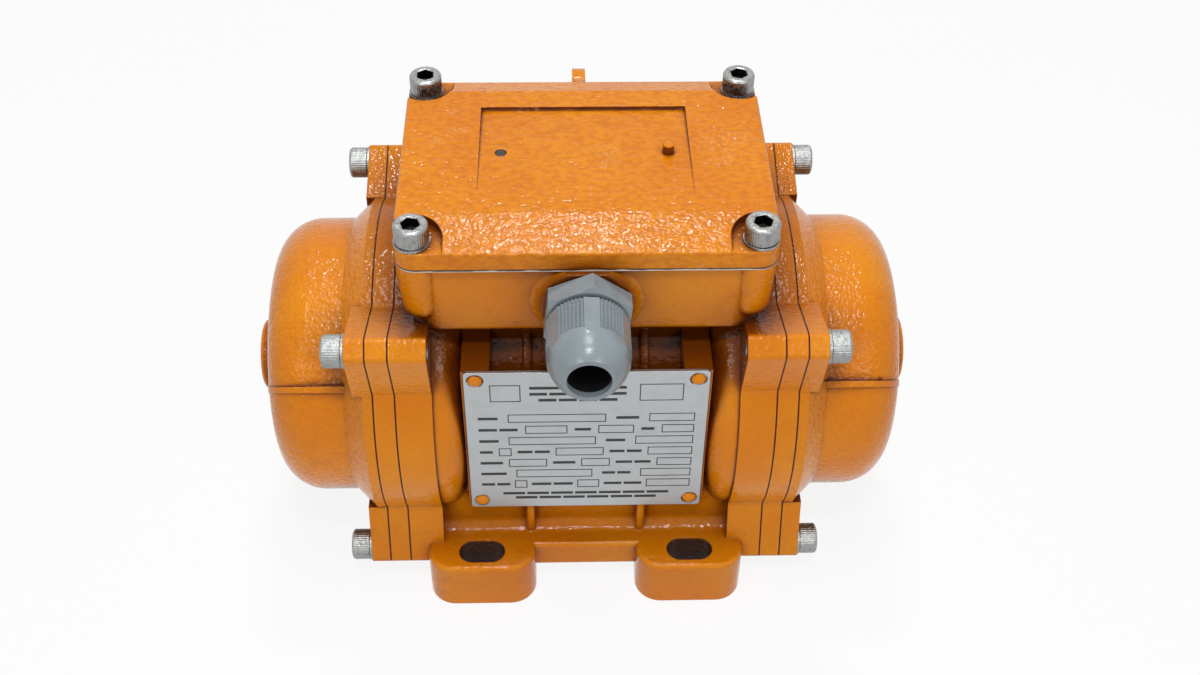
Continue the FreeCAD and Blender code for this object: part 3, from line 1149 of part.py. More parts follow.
def domed_skirt(back, front):
    """Solid outside of the dome nut: straight skirt running tangent into the dome."""
    drop = GLAND_NUT_R - GLAND_LIP_R
    dome_r = (GLAND_DOME_LENGTH ** 2 + drop ** 2) / (2 * drop)
    half_out = GLAND_DOME_LENGTH / 2
    half_r = GLAND_NUT_R - dome_r + math.sqrt(dome_r ** 2 - half_out ** 2)
    start = front - GLAND_DOME_LENGTH
    corners = [(back, 0), (back, GLAND_NUT_R), (start, GLAND_NUT_R), (start + half_out, half_r),
               (front, GLAND_LIP_R), (front, 0)]
    corners = [Vector(0, GLAND_FACE - along, GLAND_Z + radius) for along, radius in corners]
    edges = [Part.makeLine(corners[0], corners[1]), Part.makeLine(corners[1], corners[2]),
             Part.Arc(corners[2], corners[3], corners[4]).toShape(), Part.makeLine(corners[4], corners[5]),
             Part.makeLine(corners[5], corners[0])]
    return Part.Face(Part.Wire(edges)).revolve(Vector(0, GLAND_FACE, GLAND_Z), Y_AXIS, 360)


def gland_flutes(back):
    """Groups of grip flutes round the skirt, with smooth lands between them."""
    flutes = []
    for group in range(FLUTE_GROUPS):
        for step in range(FLUTES_PER_GROUP):
            offset = (step - (FLUTES_PER_GROUP - 1) / 2) * FLUTE_PITCH
            angle = math.radians(360 * group / FLUTE_GROUPS + FLUTE_TURN + offset)
            x = GLAND_NUT_R * math.cos(angle)
            z = GLAND_Z + GLAND_NUT_R * math.sin(angle)
            flutes.append(rod(FLUTE_R, Vector(x, GLAND_FACE - back + PAST, z),
                              Vector(x, GLAND_FACE - back - FLUTE_LENGTH, z)))
    return flutes


# ---------------------------------------------------------------- data plate
def data_plate():
    """Bare aluminium plate on the pads."""
    face = -PAD_FACE
    plate = block(-PLATE_WIDTH / 2, PLATE_WIDTH / 2, face - PLATE_T, face, PLATE_BOTTOM, PLATE_TOP)
    plate = plate.makeFillet(PLATE_CORNER, edges_along(plate, Y_AXIS))
    holes = [rod(RIVET_R + THREAD_GAP, Vector(x, face - 2 * PLATE_T, z), Vector(x, face + 1, z))
             for x, z in RIVETS]
    return plate.cut(Part.makeCompound(holes))


def data_plate_rivets():
    """Four dome-headed drive rivets."""
    sphere_r = (RIVET_HEAD_R ** 2 + RIVET_HEAD_H ** 2) / (2 * RIVET_HEAD_H)
    dome = Part.makeSphere(sphere_r, Vector(0, 0, RIVET_HEAD_H - sphere_r))
    dome = dome.common(Part.makeCylinder(RIVET_HEAD_R, RIVET_HEAD_H))
    rivet = joined([dome, rod(RIVET_R, Vector(0, 0, -RIVET_LENGTH), Vector(0, 0, RIVET_HEAD_H / 2))])
    seat = -PAD_FACE - PLATE_T
    return Part.makeCompound([aimed(rivet, Vector(x, seat, z), Vector(0, -1, 0)) for x, z in RIVETS])


# ---------------------------------------------------------------- export
def write(name, shape):
    """One STEP file per named piece or group of like pieces."""
    shape.exportStep("parts/" + name + ".step")


def write_pair(name, shape):
    """A right-hand piece and its mirror image on the left."""
    write(name + "_right", shape)
    write(name + "_left", mirrored(shape))


os.makedirs("parts", exist_ok=True)
write("motor_casing", motor_casing())
write("stator_core", stator_core())
write("stator_windings", stator_windings())
write("motor_leads", motor_leads())
write("rotor_shaft", rotor_shaft())
write("rotor_core", rotor_core())
write("rotor_cage", rotor_cage())
write_pair("bearing_flange", bearing_flange())
write_pair("flange_seal", seal_ring(SPIGOT_SEAL_X, BORE_R))
write_pair("bearing_outer_ring", bearing_outer_ring())
write_pair("bearing_inner_ring", bearing_inner_ring())
write_pair("bearing_balls", bearing_balls())
write_pair("bearing_cage", bearing_cage())
write_pair("bearing_clip", bearing_clip())
write_pair("shaft_spacer", ring(BEARING_OUT_X, SPACER_OUT_X, BEARING_BORE_R + SEAT_GAP, SPACER_R))
write_pair("shaft_key", key_block(0, 0))
write_pair("fixed_weight", fixed_weight())
write_pair("adjustable_weight", adjustable_weight())
write_pair("clamp_screw", clamp_screw())
write_pair("shaft_clip", shaft_clip())
write_pair("weight_cover", weight_cover())
write_pair("cover_seal", seal_ring(REGISTER_SEAL_X, COVER_BORE_R))
write_pair("cover_screws", cover_screws())
write_pair("cover_washers", cover_washers())
write("terminal_gasket", rim_gasket())
write("terminal_cover", terminal_cover())
write("terminal_cover_screws", lid_screws())
write("terminal_cover_washers", lid_washers())
write("label_pin_left", label_pin(-LABEL_PIN_X, 0))
write("label_pin_right", label_pin(LABEL_PIN_X, LABEL_PEG_HEIGHT))
write("terminal_block", terminal_block())
write("terminal_studs", terminal_studs())
write("terminal_nuts", terminal_nuts())
write("earth_screw", earth_screw())
write("gland_body", gland_body())
write("gland_washer", gland_washer())
write("gland_seal", gland_seal())
write("gland_nut", gland_nut())
write("data_plate", data_plate())
write("data_plate_rivets", data_plate_rivets())
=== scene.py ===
"""Footed vibration motor with an eccentric weight on each shaft end, dressed in the order of assembly."""
import math

import bmesh
import bpy
from mathutils import Matrix, Vector


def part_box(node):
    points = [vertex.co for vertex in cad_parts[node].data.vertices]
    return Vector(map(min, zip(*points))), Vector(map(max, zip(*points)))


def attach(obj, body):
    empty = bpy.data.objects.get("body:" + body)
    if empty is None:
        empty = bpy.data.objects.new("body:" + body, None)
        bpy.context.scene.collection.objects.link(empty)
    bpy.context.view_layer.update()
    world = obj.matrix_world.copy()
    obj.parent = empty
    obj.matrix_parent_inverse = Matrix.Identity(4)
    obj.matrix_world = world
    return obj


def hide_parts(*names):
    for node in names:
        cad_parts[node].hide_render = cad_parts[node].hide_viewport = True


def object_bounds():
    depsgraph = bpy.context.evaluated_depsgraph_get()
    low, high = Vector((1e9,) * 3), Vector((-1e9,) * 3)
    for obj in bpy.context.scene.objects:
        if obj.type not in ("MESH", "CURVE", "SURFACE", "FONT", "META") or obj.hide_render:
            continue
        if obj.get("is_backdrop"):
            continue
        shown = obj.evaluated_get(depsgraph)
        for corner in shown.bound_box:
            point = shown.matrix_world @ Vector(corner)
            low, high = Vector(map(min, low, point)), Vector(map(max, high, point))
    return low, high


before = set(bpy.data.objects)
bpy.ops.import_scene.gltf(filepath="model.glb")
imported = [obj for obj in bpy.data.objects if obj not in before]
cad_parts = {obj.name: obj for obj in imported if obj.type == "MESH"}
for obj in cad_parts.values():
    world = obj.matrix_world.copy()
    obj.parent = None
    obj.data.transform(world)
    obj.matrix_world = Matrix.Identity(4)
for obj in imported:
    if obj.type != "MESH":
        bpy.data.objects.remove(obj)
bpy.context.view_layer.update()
MM = 0.001


# ================================================================ motor casing
# One iron casting: barrel, rounded end shoulders, feet, ribs and the open terminal box in a piece.
# Sand cast, machined at the joints and sprayed with gloss orange enamel that follows the cast skin.
def srgb(red, green, blue):
    """Shader colour of a paint given in 8-bit screen values."""
    linear = [c / 255 / 12.92 if c <= 10 else ((c / 255 + 0.055) / 1.055) ** 2.4
              for c in (red, green, blue)]
    return (*linear, 1.0)


def new_finish(name):
    """An empty finish: its material, node tree and shader."""
    finish = bpy.data.materials.new(name)
    finish.use_nodes = True
    return finish, finish.node_tree, finish.node_tree.nodes["Principled BSDF"]


def add(tree, kind, **inputs):
    """Adds a shader node and fills its inputs, each with a value or another node's output."""
    made = tree.nodes.new("ShaderNode" + kind)
    for name, value in inputs.items():
        socket = made.inputs[name.replace("_", " ")]
        if isinstance(value, bpy.types.NodeSocket):
            tree.links.new(value, socket)
        else:
            socket.default_value = value
    return made


def place(tree):
    """Position on the piece, in metres of the motor's own frame."""
    return add(tree, "TexCoord").outputs["Object"]


def grain(tree, size, detail=2.0, spot=None, stretch=None):
    """Cloudy pattern with features of about a size in metres, from 0 to 1."""
    spot = spot or place(tree)
    if stretch:
        spot = add(tree, "Mapping", Vector=spot, Scale=stretch).outputs["Vector"]
    return add(tree, "TexNoise", Vector=spot, Scale=1 / size, Detail=detail).outputs["Fac"]


def between(tree, value, low, high, start=0.0, end=1.0):
    """Turns the part of a pattern between two levels into a soft step."""
    step = add(tree, "MapRange", Value=value, From_Min=low, From_Max=high, To_Min=start, To_Max=end)
    step.interpolation_type = "SMOOTHSTEP"
    return step.outputs["Result"]


def sums(tree, kind, first, second):
    """One sum of two patterns or numbers."""
    worked = add(tree, "Math")
    worked.operation = kind
    for socket, value in zip(worked.inputs, (first, second)):
        if isinstance(value, bpy.types.NodeSocket):
            tree.links.new(value, socket)
        else:
            socket.default_value = value
    return worked.outputs["Value"]


def layered(tree, cover, under, over):
    """Colour under, with colour over it where cover is 1."""
    mixed = tree.nodes.new("ShaderNodeMix")
    mixed.data_type = "RGBA"
    for socket, value in ((mixed.inputs[0], cover), (mixed.inputs[6], under), (mixed.inputs[7], over)):
        if isinstance(value, bpy.types.NodeSocket):
            tree.links.new(value, socket)
        else:
            socket.default_value = value
    return mixed.outputs[2]


def relief(tree, height, depth, under=None):
    """Surface relief of a pattern, as deep as given in metres, on top of another relief."""
    inputs = {"Height": height, "Distance": depth}
    if under:
        inputs["Normal"] = under
    return add(tree, "Bump", **inputs).outputs["Normal"]


def soft_edges(tree, radius):
    """Edges that look as round as a thick coat leaves them."""
    rounded = add(tree, "Bevel", Radius=radius)
    rounded.samples = 6
    return rounded.outputs["Normal"]


def recesses(tree, reach, full=0.25):
    """1 in corners and hollows, 0 on open surfaces and where only the floor is near.

    full is the share of open sky at which a hollow counts whole.
    """
    open_sky = add(tree, "AmbientOcclusion", Distance=reach)
    open_sky.samples = 8
    off_floor = between(tree, add(tree, "SeparateXYZ", Vector=place(tree)).outputs["Z"], 0.0, reach)
    return sums(tree, "MULTIPLY", between(tree, open_sky.outputs["AO"], 0.9, full), off_floor)


# Enamel orange and its tones; the low, thick and deep tones also serve as painted shade in the dips of the
# cast skin, in corners and in deep hollows.
ENAMEL = srgb(228, 131, 6)
ENAMEL_THIN = srgb(235, 144, 12)
ENAMEL_VALLEY_SHADE = srgb(198, 104, 4)
ENAMEL_POOLED_AND_SHADE = srgb(170, 78, 6)
ENAMEL_DEEP_SHADE = srgb(98, 38, 6)
CLOUD_SIZE = 38 * MM
POOL_SIZE = 7 * MM
EDGE_REACH = 9 * MM
DEEP_REACH = 38 * MM


def coat_colour(tree, skin, pooled, valley_shade):
    """Orange of the coat: lighter where it is thin, browner where it pools, and with painted shade in the
    dips of the skin, near corners and deep in hollows.
    """
    clouds = grain(tree, CLOUD_SIZE, 3.0)
    colour = layered(tree, between(tree, clouds, 0.35, 0.7), ENAMEL, ENAMEL_THIN)
    # Painted shade in the dips of the skin's pimples, by the share passed in.
    colour = layered(tree, between(tree, skin, 0.62, 0.34, 0.0, valley_shade), colour, ENAMEL_VALLEY_SHADE)
    colour = layered(tree, between(tree, pooled, 0.56, 0.8, 0.0, 0.25), colour, ENAMEL_POOLED_AND_SHADE)
    # Painted shade within a short reach of corners and hollows.
    near = sums(tree, "MULTIPLY", recesses(tree, EDGE_REACH), 0.7)
    colour = layered(tree, near, colour, ENAMEL_POOLED_AND_SHADE)
    # Painted shade far into deep hollows, such as under the terminal box and beside the plate.
    deep = sums(tree, "MULTIPLY", recesses(tree, DEEP_REACH, full=0.5), 0.9)
    return layered(tree, deep, colour, ENAMEL_DEEP_SHADE)


# Dark brown of specks, chips and soil, and of the painted shade in the fixing slots and round the plate
# rivets; it also darkens patches in tight corners.
GRIME_AND_SHADE = srgb(72, 34, 16)
SPECK_SIZE = 1.3 * MM
CORNER_REACH = 2.5 * MM


def coat_dirt_and_shade(tree, pooled, stain_and_shade):
    """1 at scattered specks of soil, in patches in some of the tight corners, and where the passed-in
    function adds chips on the covers and painted shade in the casing's slots.
    """
    specks = between(tree, grain(tree, SPECK_SIZE, 3.0), 0.76, 0.8)
    corners = sums(tree, "MULTIPLY", recesses(tree, CORNER_REACH), between(tree, pooled, 0.45, 0.62))
    dirt_and_shade = sums(tree, "MAXIMUM", sums(tree, "MULTIPLY", specks, 0.6), corners)
    if stain_and_shade:
        dirt_and_shade = sums(tree, "MAXIMUM", dirt_and_shade, stain_and_shade(tree))
    return dirt_and_shade


SCUFF = srgb(236, 176, 120)
SCUFF_SIZE = 16 * MM
SCUFF_GRIT = 1.1 * MM


def scuffed(tree, colour, share):
    """The coat with pale patches where something rubbed it."""
    patch = between(tree, grain(tree, SCUFF_SIZE, 2.0), 0.64, 0.72)
    worn = sums(tree, "MULTIPLY", patch, between(tree, grain(tree, SCUFF_GRIT, 5.0), 0.5, 0.62))
    return layered(tree, sums(tree, "MULTIPLY", worn, share), colour, SCUFF)


JOINT_LINE = srgb(60, 18, 8)
JOINT_HALF = 0.2 * MM


def joint_lines(tree, colour, stations):
    """Thin dark line where two machined faces meet, at each station along the shaft on both sides."""
    across = add(tree, "SeparateXYZ", Vector=place(tree)).outputs["X"]
    outward = sums(tree, "ABSOLUTE", across, 0.0)
    for station in stations:
        away = sums(tree, "ABSOLUTE", sums(tree, "SUBTRACT", outward, station), 0.0)
        colour = layered(tree, between(tree, away, 1.5 * JOINT_HALF, JOINT_HALF), colour, JOINT_LINE)
    return colour


COAT_GLOSS = 0.2
COAT_ROUND = 0.6 * MM
SHEEN_SIZE = 11 * MM


def enamel(name, pimple, pimple_depth, valley_shade, stretch=(1.0, 1.0, 1.0), scuffs=0.0, seams=(),
           stain_and_shade=None):
    """Gloss orange enamel over a cast skin with pimples of a size and depth, both in metres."""
    finish, tree, shader = new_finish(name)
    shader.inputs["Specular IOR Level"].default_value = COAT_GLOSS
    skin = grain(tree, pimple, 1.5, stretch=stretch)
    pooled = grain(tree, POOL_SIZE, 4.0)
    dirt_and_shade = coat_dirt_and_shade(tree, pooled, stain_and_shade)
    # Specks, corner patches, chips and painted shade, in dark brown over the coat.
    colour = layered(tree, dirt_and_shade, coat_colour(tree, skin, pooled, valley_shade), GRIME_AND_SHADE)
    if scuffs:
        colour = scuffed(tree, colour, scuffs)
    if seams:
        colour = joint_lines(tree, colour, seams)
    tree.links.new(colour, shader.inputs["Base Color"])
    sheen = between(tree, grain(tree, SHEEN_SIZE, 3.0), 0.3, 0.75, 0.08, 0.14)
    matt = sums(tree, "ADD", sheen, sums(tree, "MULTIPLY", dirt_and_shade, 0.4))
    tree.links.new(matt, shader.inputs["Roughness"])
    normal = relief(tree, skin, pimple_depth, soft_edges(tree, COAT_ROUND))
    normal = relief(tree, grain(tree, 0.6 * pimple, 0.0), 0.4 * pimple_depth, normal)
    tree.links.new(normal, shader.inputs["Normal"])
    return finish


def dress(finish, *nodes):
    """Gives a finish to pieces that keep the shape they have."""
    for name in nodes:
        for material_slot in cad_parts[name].material_slots:
            material_slot.material = finish


def both_sides(*names):
    """Names of the left and right copies of pieces."""
    return [name + side for name in names for side in ("_left", "_right")]


SLOT_X = 34.0 * MM
SLOT_Y = 53.0 * MM
SLOT_HALF = (7.6 * MM, 4.6 * MM)
SLOT_RIM = 17.2 * MM
SLOT_FADE = 1.2 * MM
SLOT_GAP = 0.1 * MM


def slot_wall_shade(tree):
    """1 down the walls of the four fixing slots, for the painted shade deep inside them."""
    spot = add(tree, "SeparateXYZ", Vector=place(tree)).outputs
    inside = between(tree, spot["Z"], SLOT_RIM + SLOT_FADE, SLOT_RIM)
    for axis, centre, half in (("X", SLOT_X, SLOT_HALF[0]), ("Y", SLOT_Y, SLOT_HALF[1])):
        outward = sums(tree, "SUBTRACT", sums(tree, "ABSOLUTE", spot[axis], 0.0), centre)
        near = between(tree, sums(tree, "ABSOLUTE", outward, 0.0), half + SLOT_GAP, half)
        inside = sums(tree, "MULTIPLY", inside, near)
    return inside


CASING_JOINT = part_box("motor_casing")[1].x
CASING_PIMPLE = 1.7 * MM
CASING_PIMPLE_DEPTH = 0.22 * MM
# The casing's fixing slots get painted shade down their walls.
casing_enamel = enamel("casing_enamel", CASING_PIMPLE, CASING_PIMPLE_DEPTH, 0.1, seams=(CASING_JOINT,),
                       stain_and_shade=slot_wall_shade)
dress(casing_enamel, "motor_casing")


# ================================================================ stator core and windings
# Stack of punched electrical sheet pressed into the bore, with varnished copper coils in its slots.
# Three sleeved leads climb through the duct to the terminal studs.
CREVICE = 1.5 * MM
METAL_EDGE = 0.15 * MM


def dimmed(colour, share):
    """A colour with only a share of its light."""
    return (*[part * share for part in colour[:3]], 1.0)


def metal(name, colour, dull, wear=0.12, scratch=(1.0, 1.0, 1.0), scratch_size=0.6 * MM, depth=0.01 * MM,
          blotch=5 * MM, blotched=0.6, stain_and_shade=None):
    """Bare or plated metal: cloudy tone, painted shade in crevices, fine tool marks that can run one way,
    uneven gloss.
    """
    finish, tree, shader = new_finish(name)
    shader.inputs["Metallic"].default_value = 1.0
    darker = dimmed(colour, 0.55)
    marks = grain(tree, scratch_size, 4.0, stretch=scratch)
    tone = layered(tree, between(tree, grain(tree, blotch, 4.0), 0.42, 0.72, 0.0, blotched), colour, darker)
    # Painted shade: darker in crevices.
    tone = layered(tree, sums(tree, "MULTIPLY", recesses(tree, CREVICE), 0.7), tone, darker)
    # Dark brown where the passed-in function marks it; on the plate this is painted shade round the rivets.
    if stain_and_shade:
        tone = layered(tree, stain_and_shade(tree), tone, GRIME_AND_SHADE)
    tree.links.new(tone, shader.inputs["Base Color"])
    tree.links.new(between(tree, marks, 0.3, 0.7, dull - wear, dull + wear), shader.inputs["Roughness"])
    tree.links.new(relief(tree, marks, depth, soft_edges(tree, METAL_EDGE)), shader.inputs["Normal"])
    return finish


SHEET = 0.5 * MM
SHEET_GAP = 0.06 * MM


def sheet_stack(name, colour):
    """Edges of thin sheets, stacked along the shaft."""
    finish, tree, shader = new_finish(name)
    shader.inputs["Metallic"].default_value = 1.0
    along = add(tree, "SeparateXYZ", Vector=place(tree)).outputs["X"]
    gap = between(tree, sums(tree, "PINGPONG", along, SHEET / 2), 0.0, SHEET_GAP)
    tree.links.new(layered(tree, gap, dimmed(colour, 0.3), colour), shader.inputs["Base Color"])
    tree.links.new(between(tree, grain(tree, 2 * MM), 0.3, 0.7, 0.3, 0.55), shader.inputs["Roughness"])
    tree.links.new(relief(tree, gap, 0.05 * MM), shader.inputs["Normal"])
    return finish


MOULDED_EDGE = 0.25 * MM


def moulded(name, colour, dull, skin=0.8 * MM, depth=0.02 * MM, shade=0.75, gloss=0.5):
    """Plastic, rubber, fibre or ink with a moulded skin."""
    finish, tree, shader = new_finish(name)
    shader.inputs["Specular IOR Level"].default_value = gloss
    tone = layered(tree, between(tree, grain(tree, 6 * MM, 4.0), 0.4, 0.75), colour, dimmed(colour, shade))
    # Painted shade in crevices, near black.
    shaded = sums(tree, "MULTIPLY", recesses(tree, CREVICE), 0.8)
    tree.links.new(layered(tree, shaded, tone, dimmed(colour, 0.2)), shader.inputs["Base Color"])
    matt = between(tree, grain(tree, 3 * MM, 3.0), 0.3, 0.7, dull - 0.08, dull + 0.08)
    tree.links.new(matt, shader.inputs["Roughness"])
    normal = relief(tree, grain(tree, skin, 2.0), depth, soft_edges(tree, MOULDED_EDGE))
    tree.links.new(normal, shader.inputs["Normal"])
    return finish


SHEET_STEEL = srgb(150, 150, 152)
sheet_steel = sheet_stack("sheet_steel", SHEET_STEEL)
dress(sheet_steel, "stator_core")

COPPER = srgb(184, 104, 62)
dress(metal("varnished_copper", COPPER, 0.32, scratch=(0.15, 1.0, 1.0), depth=0.08 * MM), "stator_windings")

LEAD_SLEEVE = srgb(196, 190, 176)
dress(moulded("lead_sleeve", LEAD_SLEEVE, 0.6, 0.4 * MM), "motor_leads")


# ================================================================ rotor
# Squirrel cage rotor: a sheet stack pressed on a turned steel shaft.
# Its bars and end rings are cast through and over the stack in one shot of aluminium.
TURNED_STEEL = srgb(172, 172, 170)
CAST_ALUMINIUM = srgb(186, 188, 190)
turned_steel = metal("turned_steel", TURNED_STEEL, 0.3, scratch=(8.0, 1.0, 1.0))
dress(sheet_steel, "rotor_core")
dress(metal("cast_aluminium", CAST_ALUMINIUM, 0.48, depth=0.05 * MM), "rotor_cage")
dress(turned_steel, "rotor_shaft")


# ================================================================ ball bearings
# One deep-groove bearing at each end, with ground races, polished balls and a moulded cage.
# A bowed ring of spring steel holds each one in its hub.
GROUND_STEEL = srgb(196, 198, 200)
CAGE_NYLON = srgb(118, 92, 58)
SPRING_STEEL = srgb(84, 82, 80)
ground_steel = metal("ground_steel", GROUND_STEEL, 0.16, 0.06, depth=0.002 * MM)
spring_steel = metal("spring_steel", SPRING_STEEL, 0.38)
dress(ground_steel, *both_sides("bearing_outer_ring", "bearing_inner_ring", "bearing_balls"))
dress(moulded("cage_nylon", CAGE_NYLON, 0.45), *both_sides("bearing_cage"))
dress(spring_steel, *both_sides("bearing_clip"))


# ================================================================ bearing flanges
# Cast end shields with machined faces, spigoted into the casing and painted with it.
# A rubber ring in each spigot closes the bore.
RUBBER = srgb(16, 16, 17)
COVER_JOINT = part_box("weight_cover_right")[0].x
rubber = moulded("black_rubber", RUBBER, 0.62, 0.5 * MM, gloss=0.2)
dress(enamel("flange_enamel", CASING_PIMPLE, CASING_PIMPLE_DEPTH, 0.1, seams=(CASING_JOINT, COVER_JOINT)),
      *both_sides("bearing_flange"))
dress(rubber, *both_sides("flange_seal"))


# ================================================================ eccentric weights
# On each shaft end a keyed inner weight and a clamped outer weight, both cut from steel plate.
# A spacer tube, the key and a snap ring hold them; a screw closes the outer weight's slit hub.
PLATE_STEEL = srgb(128, 126, 122)
DARK_STEEL = srgb(70, 68, 66)
dark_steel = metal("dark_steel", DARK_STEEL, 0.4)
plate_steel = metal("plate_steel", PLATE_STEEL, 0.42, depth=0.04 * MM)
dress(plate_steel, *both_sides("fixed_weight", "adjustable_weight"))
dress(turned_steel, *both_sides("shaft_spacer", "shaft_key"))
dress(dark_steel, *both_sides("clamp_screw"))
dress(spring_steel, *both_sides("shaft_clip"))


# ================================================================ weight covers
# Deep cast cups over the weights, sprayed with the casing; the cast skin shows as pimples.
# A rubber ring in each register seals them, and one low fin crosses the cup in a sloping plane.
shaft_low, shaft_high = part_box("rotor_shaft")
SHAFT_HEIGHT = (shaft_low.z + shaft_high.z) / 2
FIN_OFFSET = 11.5 * MM
FIN_NEAR = 0.8 * MM
FIN_REACH = 2.6 * MM
COVER_PIMPLE = 1.6 * MM
COVER_PIMPLE_DEPTH = 0.42 * MM


def fin_chips(tree):
    """Chipped and sooted patches along the upper side of the fin, whose plane slopes at 45 degrees."""
    spot = add(tree, "SeparateXYZ", Vector=place(tree)).outputs
    over_shaft = sums(tree, "SUBTRACT", spot["Z"], SHAFT_HEIGHT)
    across = sums(tree, "MULTIPLY", sums(tree, "ADD", spot["Y"], over_shaft), math.sqrt(0.5))
    over_fin = sums(tree, "ADD", across, FIN_OFFSET)
    band = sums(tree, "MULTIPLY", between(tree, over_fin, FIN_NEAR, FIN_NEAR + 0.3 * MM),
                between(tree, over_fin, FIN_REACH, 0.5 * FIN_REACH))
    return sums(tree, "MULTIPLY", band, between(tree, grain(tree, 4 * MM, 5.0), 0.58, 0.66))


dress(enamel("cover_enamel", COVER_PIMPLE, COVER_PIMPLE_DEPTH, 0.15, seams=(COVER_JOINT,),
             stain_and_shade=fin_chips), *both_sides("weight_cover"))
dress(rubber, *both_sides("cover_seal"))


# ================================================================ cover screws
# Zinc-plated socket head screws with knurled heads, four through each cover and flange.
# They are upset from wire, the knurl and the thread rolled, each over a plain washer.
ZINC = srgb(158, 160, 158)
# Near black of oil and painted shade in the hexagon sockets.
SOCKET_OIL_AND_SHADE = srgb(34, 32, 30)
M6_HEAD_R = 5.0 * MM
M6_HEAD_H = 6.0 * MM
M6_FLATS = 5.0 * MM
M6_SOCKET = 3.2 * MM
M6_SHANK_R = 3.0 * MM
M6_PITCH = 1.0 * MM
THREAD_CORE = 0.87           # share of the shank's radius left at the thread's root
KNURLS = 40
STEPS_PER_KNURL = 3
HEX_SIDES = 6
SOCKET_BANDS = 2             # bands of faces down the socket's wall and floor


def screw_rings(length):
    """Stations of a cap screw, tip to socket floor: (height, radius, knurl depth, hexagon share)."""
    edge = 0.1 * M6_HEAD_R
    knurl = 0.016 * M6_HEAD_R
    top, wall = M6_HEAD_H, M6_FLATS / 2
    rings = [(-length, M6_SHANK_R - edge, 0, 0)]
    for turn in range(int((length - 2 * edge) / M6_PITCH)):
        crest = -length + edge + turn * M6_PITCH
        rings += [(crest, M6_SHANK_R, 0, 0), (crest + M6_PITCH / 2, THREAD_CORE * M6_SHANK_R, 0, 0)]
    rings += [(-edge / 2, M6_SHANK_R, 0, 0), (0, M6_SHANK_R, 0, 0), (0, M6_HEAD_R - edge / 2, 0, 0),
              (edge / 2, M6_HEAD_R - knurl, 0, 0), (edge, M6_HEAD_R, knurl, 0),
              (top - 1.6 * edge, M6_HEAD_R, knurl, 0), (top - 1.3 * edge, M6_HEAD_R - knurl, 0, 0),
              (top - 0.5 * edge, M6_HEAD_R - 0.6 * edge, 0, 0), (top, M6_HEAD_R - 1.6 * edge, 0, 0),
              (top, wall + edge, 0, 0.35), (top - 0.4 * edge, wall, 0, 1.0),
              (top - M6_SOCKET, wall, 0, 1.0), (top - M6_SOCKET - edge, 0.6 * wall, 0, 0)]
    return rings


def cap_screw(shape, length, stand):
    """Adds one cap screw to a mesh, seated and turned as the matrix stand says."""
    around = KNURLS * STEPS_PER_KNURL
    side = math.tau / HEX_SIDES
    rows = []
    for height, radius, knurl, hexagon in screw_rings(length):
        row = []
        for step in range(around):
            angle = math.tau * step / around
            flat = 1 / math.cos((angle + side / 2) % side - side / 2)
            r = radius * (1 + hexagon * (flat - 1)) - (knurl if step % STEPS_PER_KNURL == 0 else 0)
            row.append(shape.verts.new(stand @ Vector((r * math.cos(angle), r * math.sin(angle), height))))
        rows.append(row)
    bands = list(zip(rows, rows[1:]))
    for level, (lower, upper) in enumerate(bands):
        for step in range(around):
            following = (step + 1) % around
            face = shape.faces.new((lower[step], lower[following], upper[following], upper[step]))
            # The bands down the socket take the dark finish of oil and painted shade.
            face.material_index = int(level >= len(bands) - SOCKET_BANDS)
    shape.faces.new(rows[0][::-1])
    shape.faces.new(rows[-1])


def new_piece(name, shape, *finishes):
    """Object from a finished mesh, with its finishes in order."""
    mesh = bpy.data.meshes.new(name)
    shape.normal_update()
    shape.to_mesh(mesh)
    shape.free()
    for finish in finishes:
        mesh.materials.append(finish)
    piece = bpy.data.objects.new(name, mesh)
    bpy.context.scene.collection.objects.link(piece)
    return piece


zinc = metal("zinc_plate", ZINC, 0.34, 0.14, scratch_size=0.9 * MM, depth=0.03 * MM, blotch=1.6 * MM)
# Dark finish of oil and painted shade for inside the sockets.
socket_oil_and_shade = metal("socket_oil_and_shade", SOCKET_OIL_AND_SHADE, 0.5)
dress(zinc, *both_sides("cover_washers"))


def four_screws(name, node, seats, outward, length, turns):
    """Four like cap screws in place of a node, each turned as it was tightened."""
    shape = bmesh.new()
    facing = Vector((0, 0, 1)).rotation_difference(Vector(outward)).to_matrix().to_4x4()
    for seat, turn in zip(seats, turns):
        stand = Matrix.Translation(seat) @ facing @ Matrix.Rotation(math.radians(turn), 4, "Z")
        cap_screw(shape, length, stand)
    piece = new_piece(name, shape, zinc, socket_oil_and_shade)
    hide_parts(node)
    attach(piece, "casing")


COVER_SCREW_TURNS = (12, 47, 31, 5)
for side, outward in (("left", -1), ("right", 1)):
    low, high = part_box("cover_screws_" + side)
    head_end, tip_end = (low.x, high.x) if outward < 0 else (high.x, low.x)
    seat_x = head_end - outward * M6_HEAD_H
    seats = [Vector((seat_x, y, z)) for y in (low.y + M6_HEAD_R, high.y - M6_HEAD_R)
             for z in (low.z + M6_HEAD_R, high.z - M6_HEAD_R)]
    four_screws("knurled_cover_screws_" + side, "cover_screws_" + side, seats,
                (outward, 0, 0), abs(seat_x - tip_end), COVER_SCREW_TURNS)


# ================================================================ terminal block
# Moulded phenolic block on the box floor, with six brass studs set in it and a nut on each.
# The earth screw stands beside it in its own tapped hole.
PHENOLIC = srgb(58, 34, 26)
BRASS = srgb(198, 164, 92)
dress(moulded("phenolic", PHENOLIC, 0.35), "terminal_block")
dress(metal("brass", BRASS, 0.3), "terminal_studs", "terminal_nuts")
dress(zinc, "earth_screw")


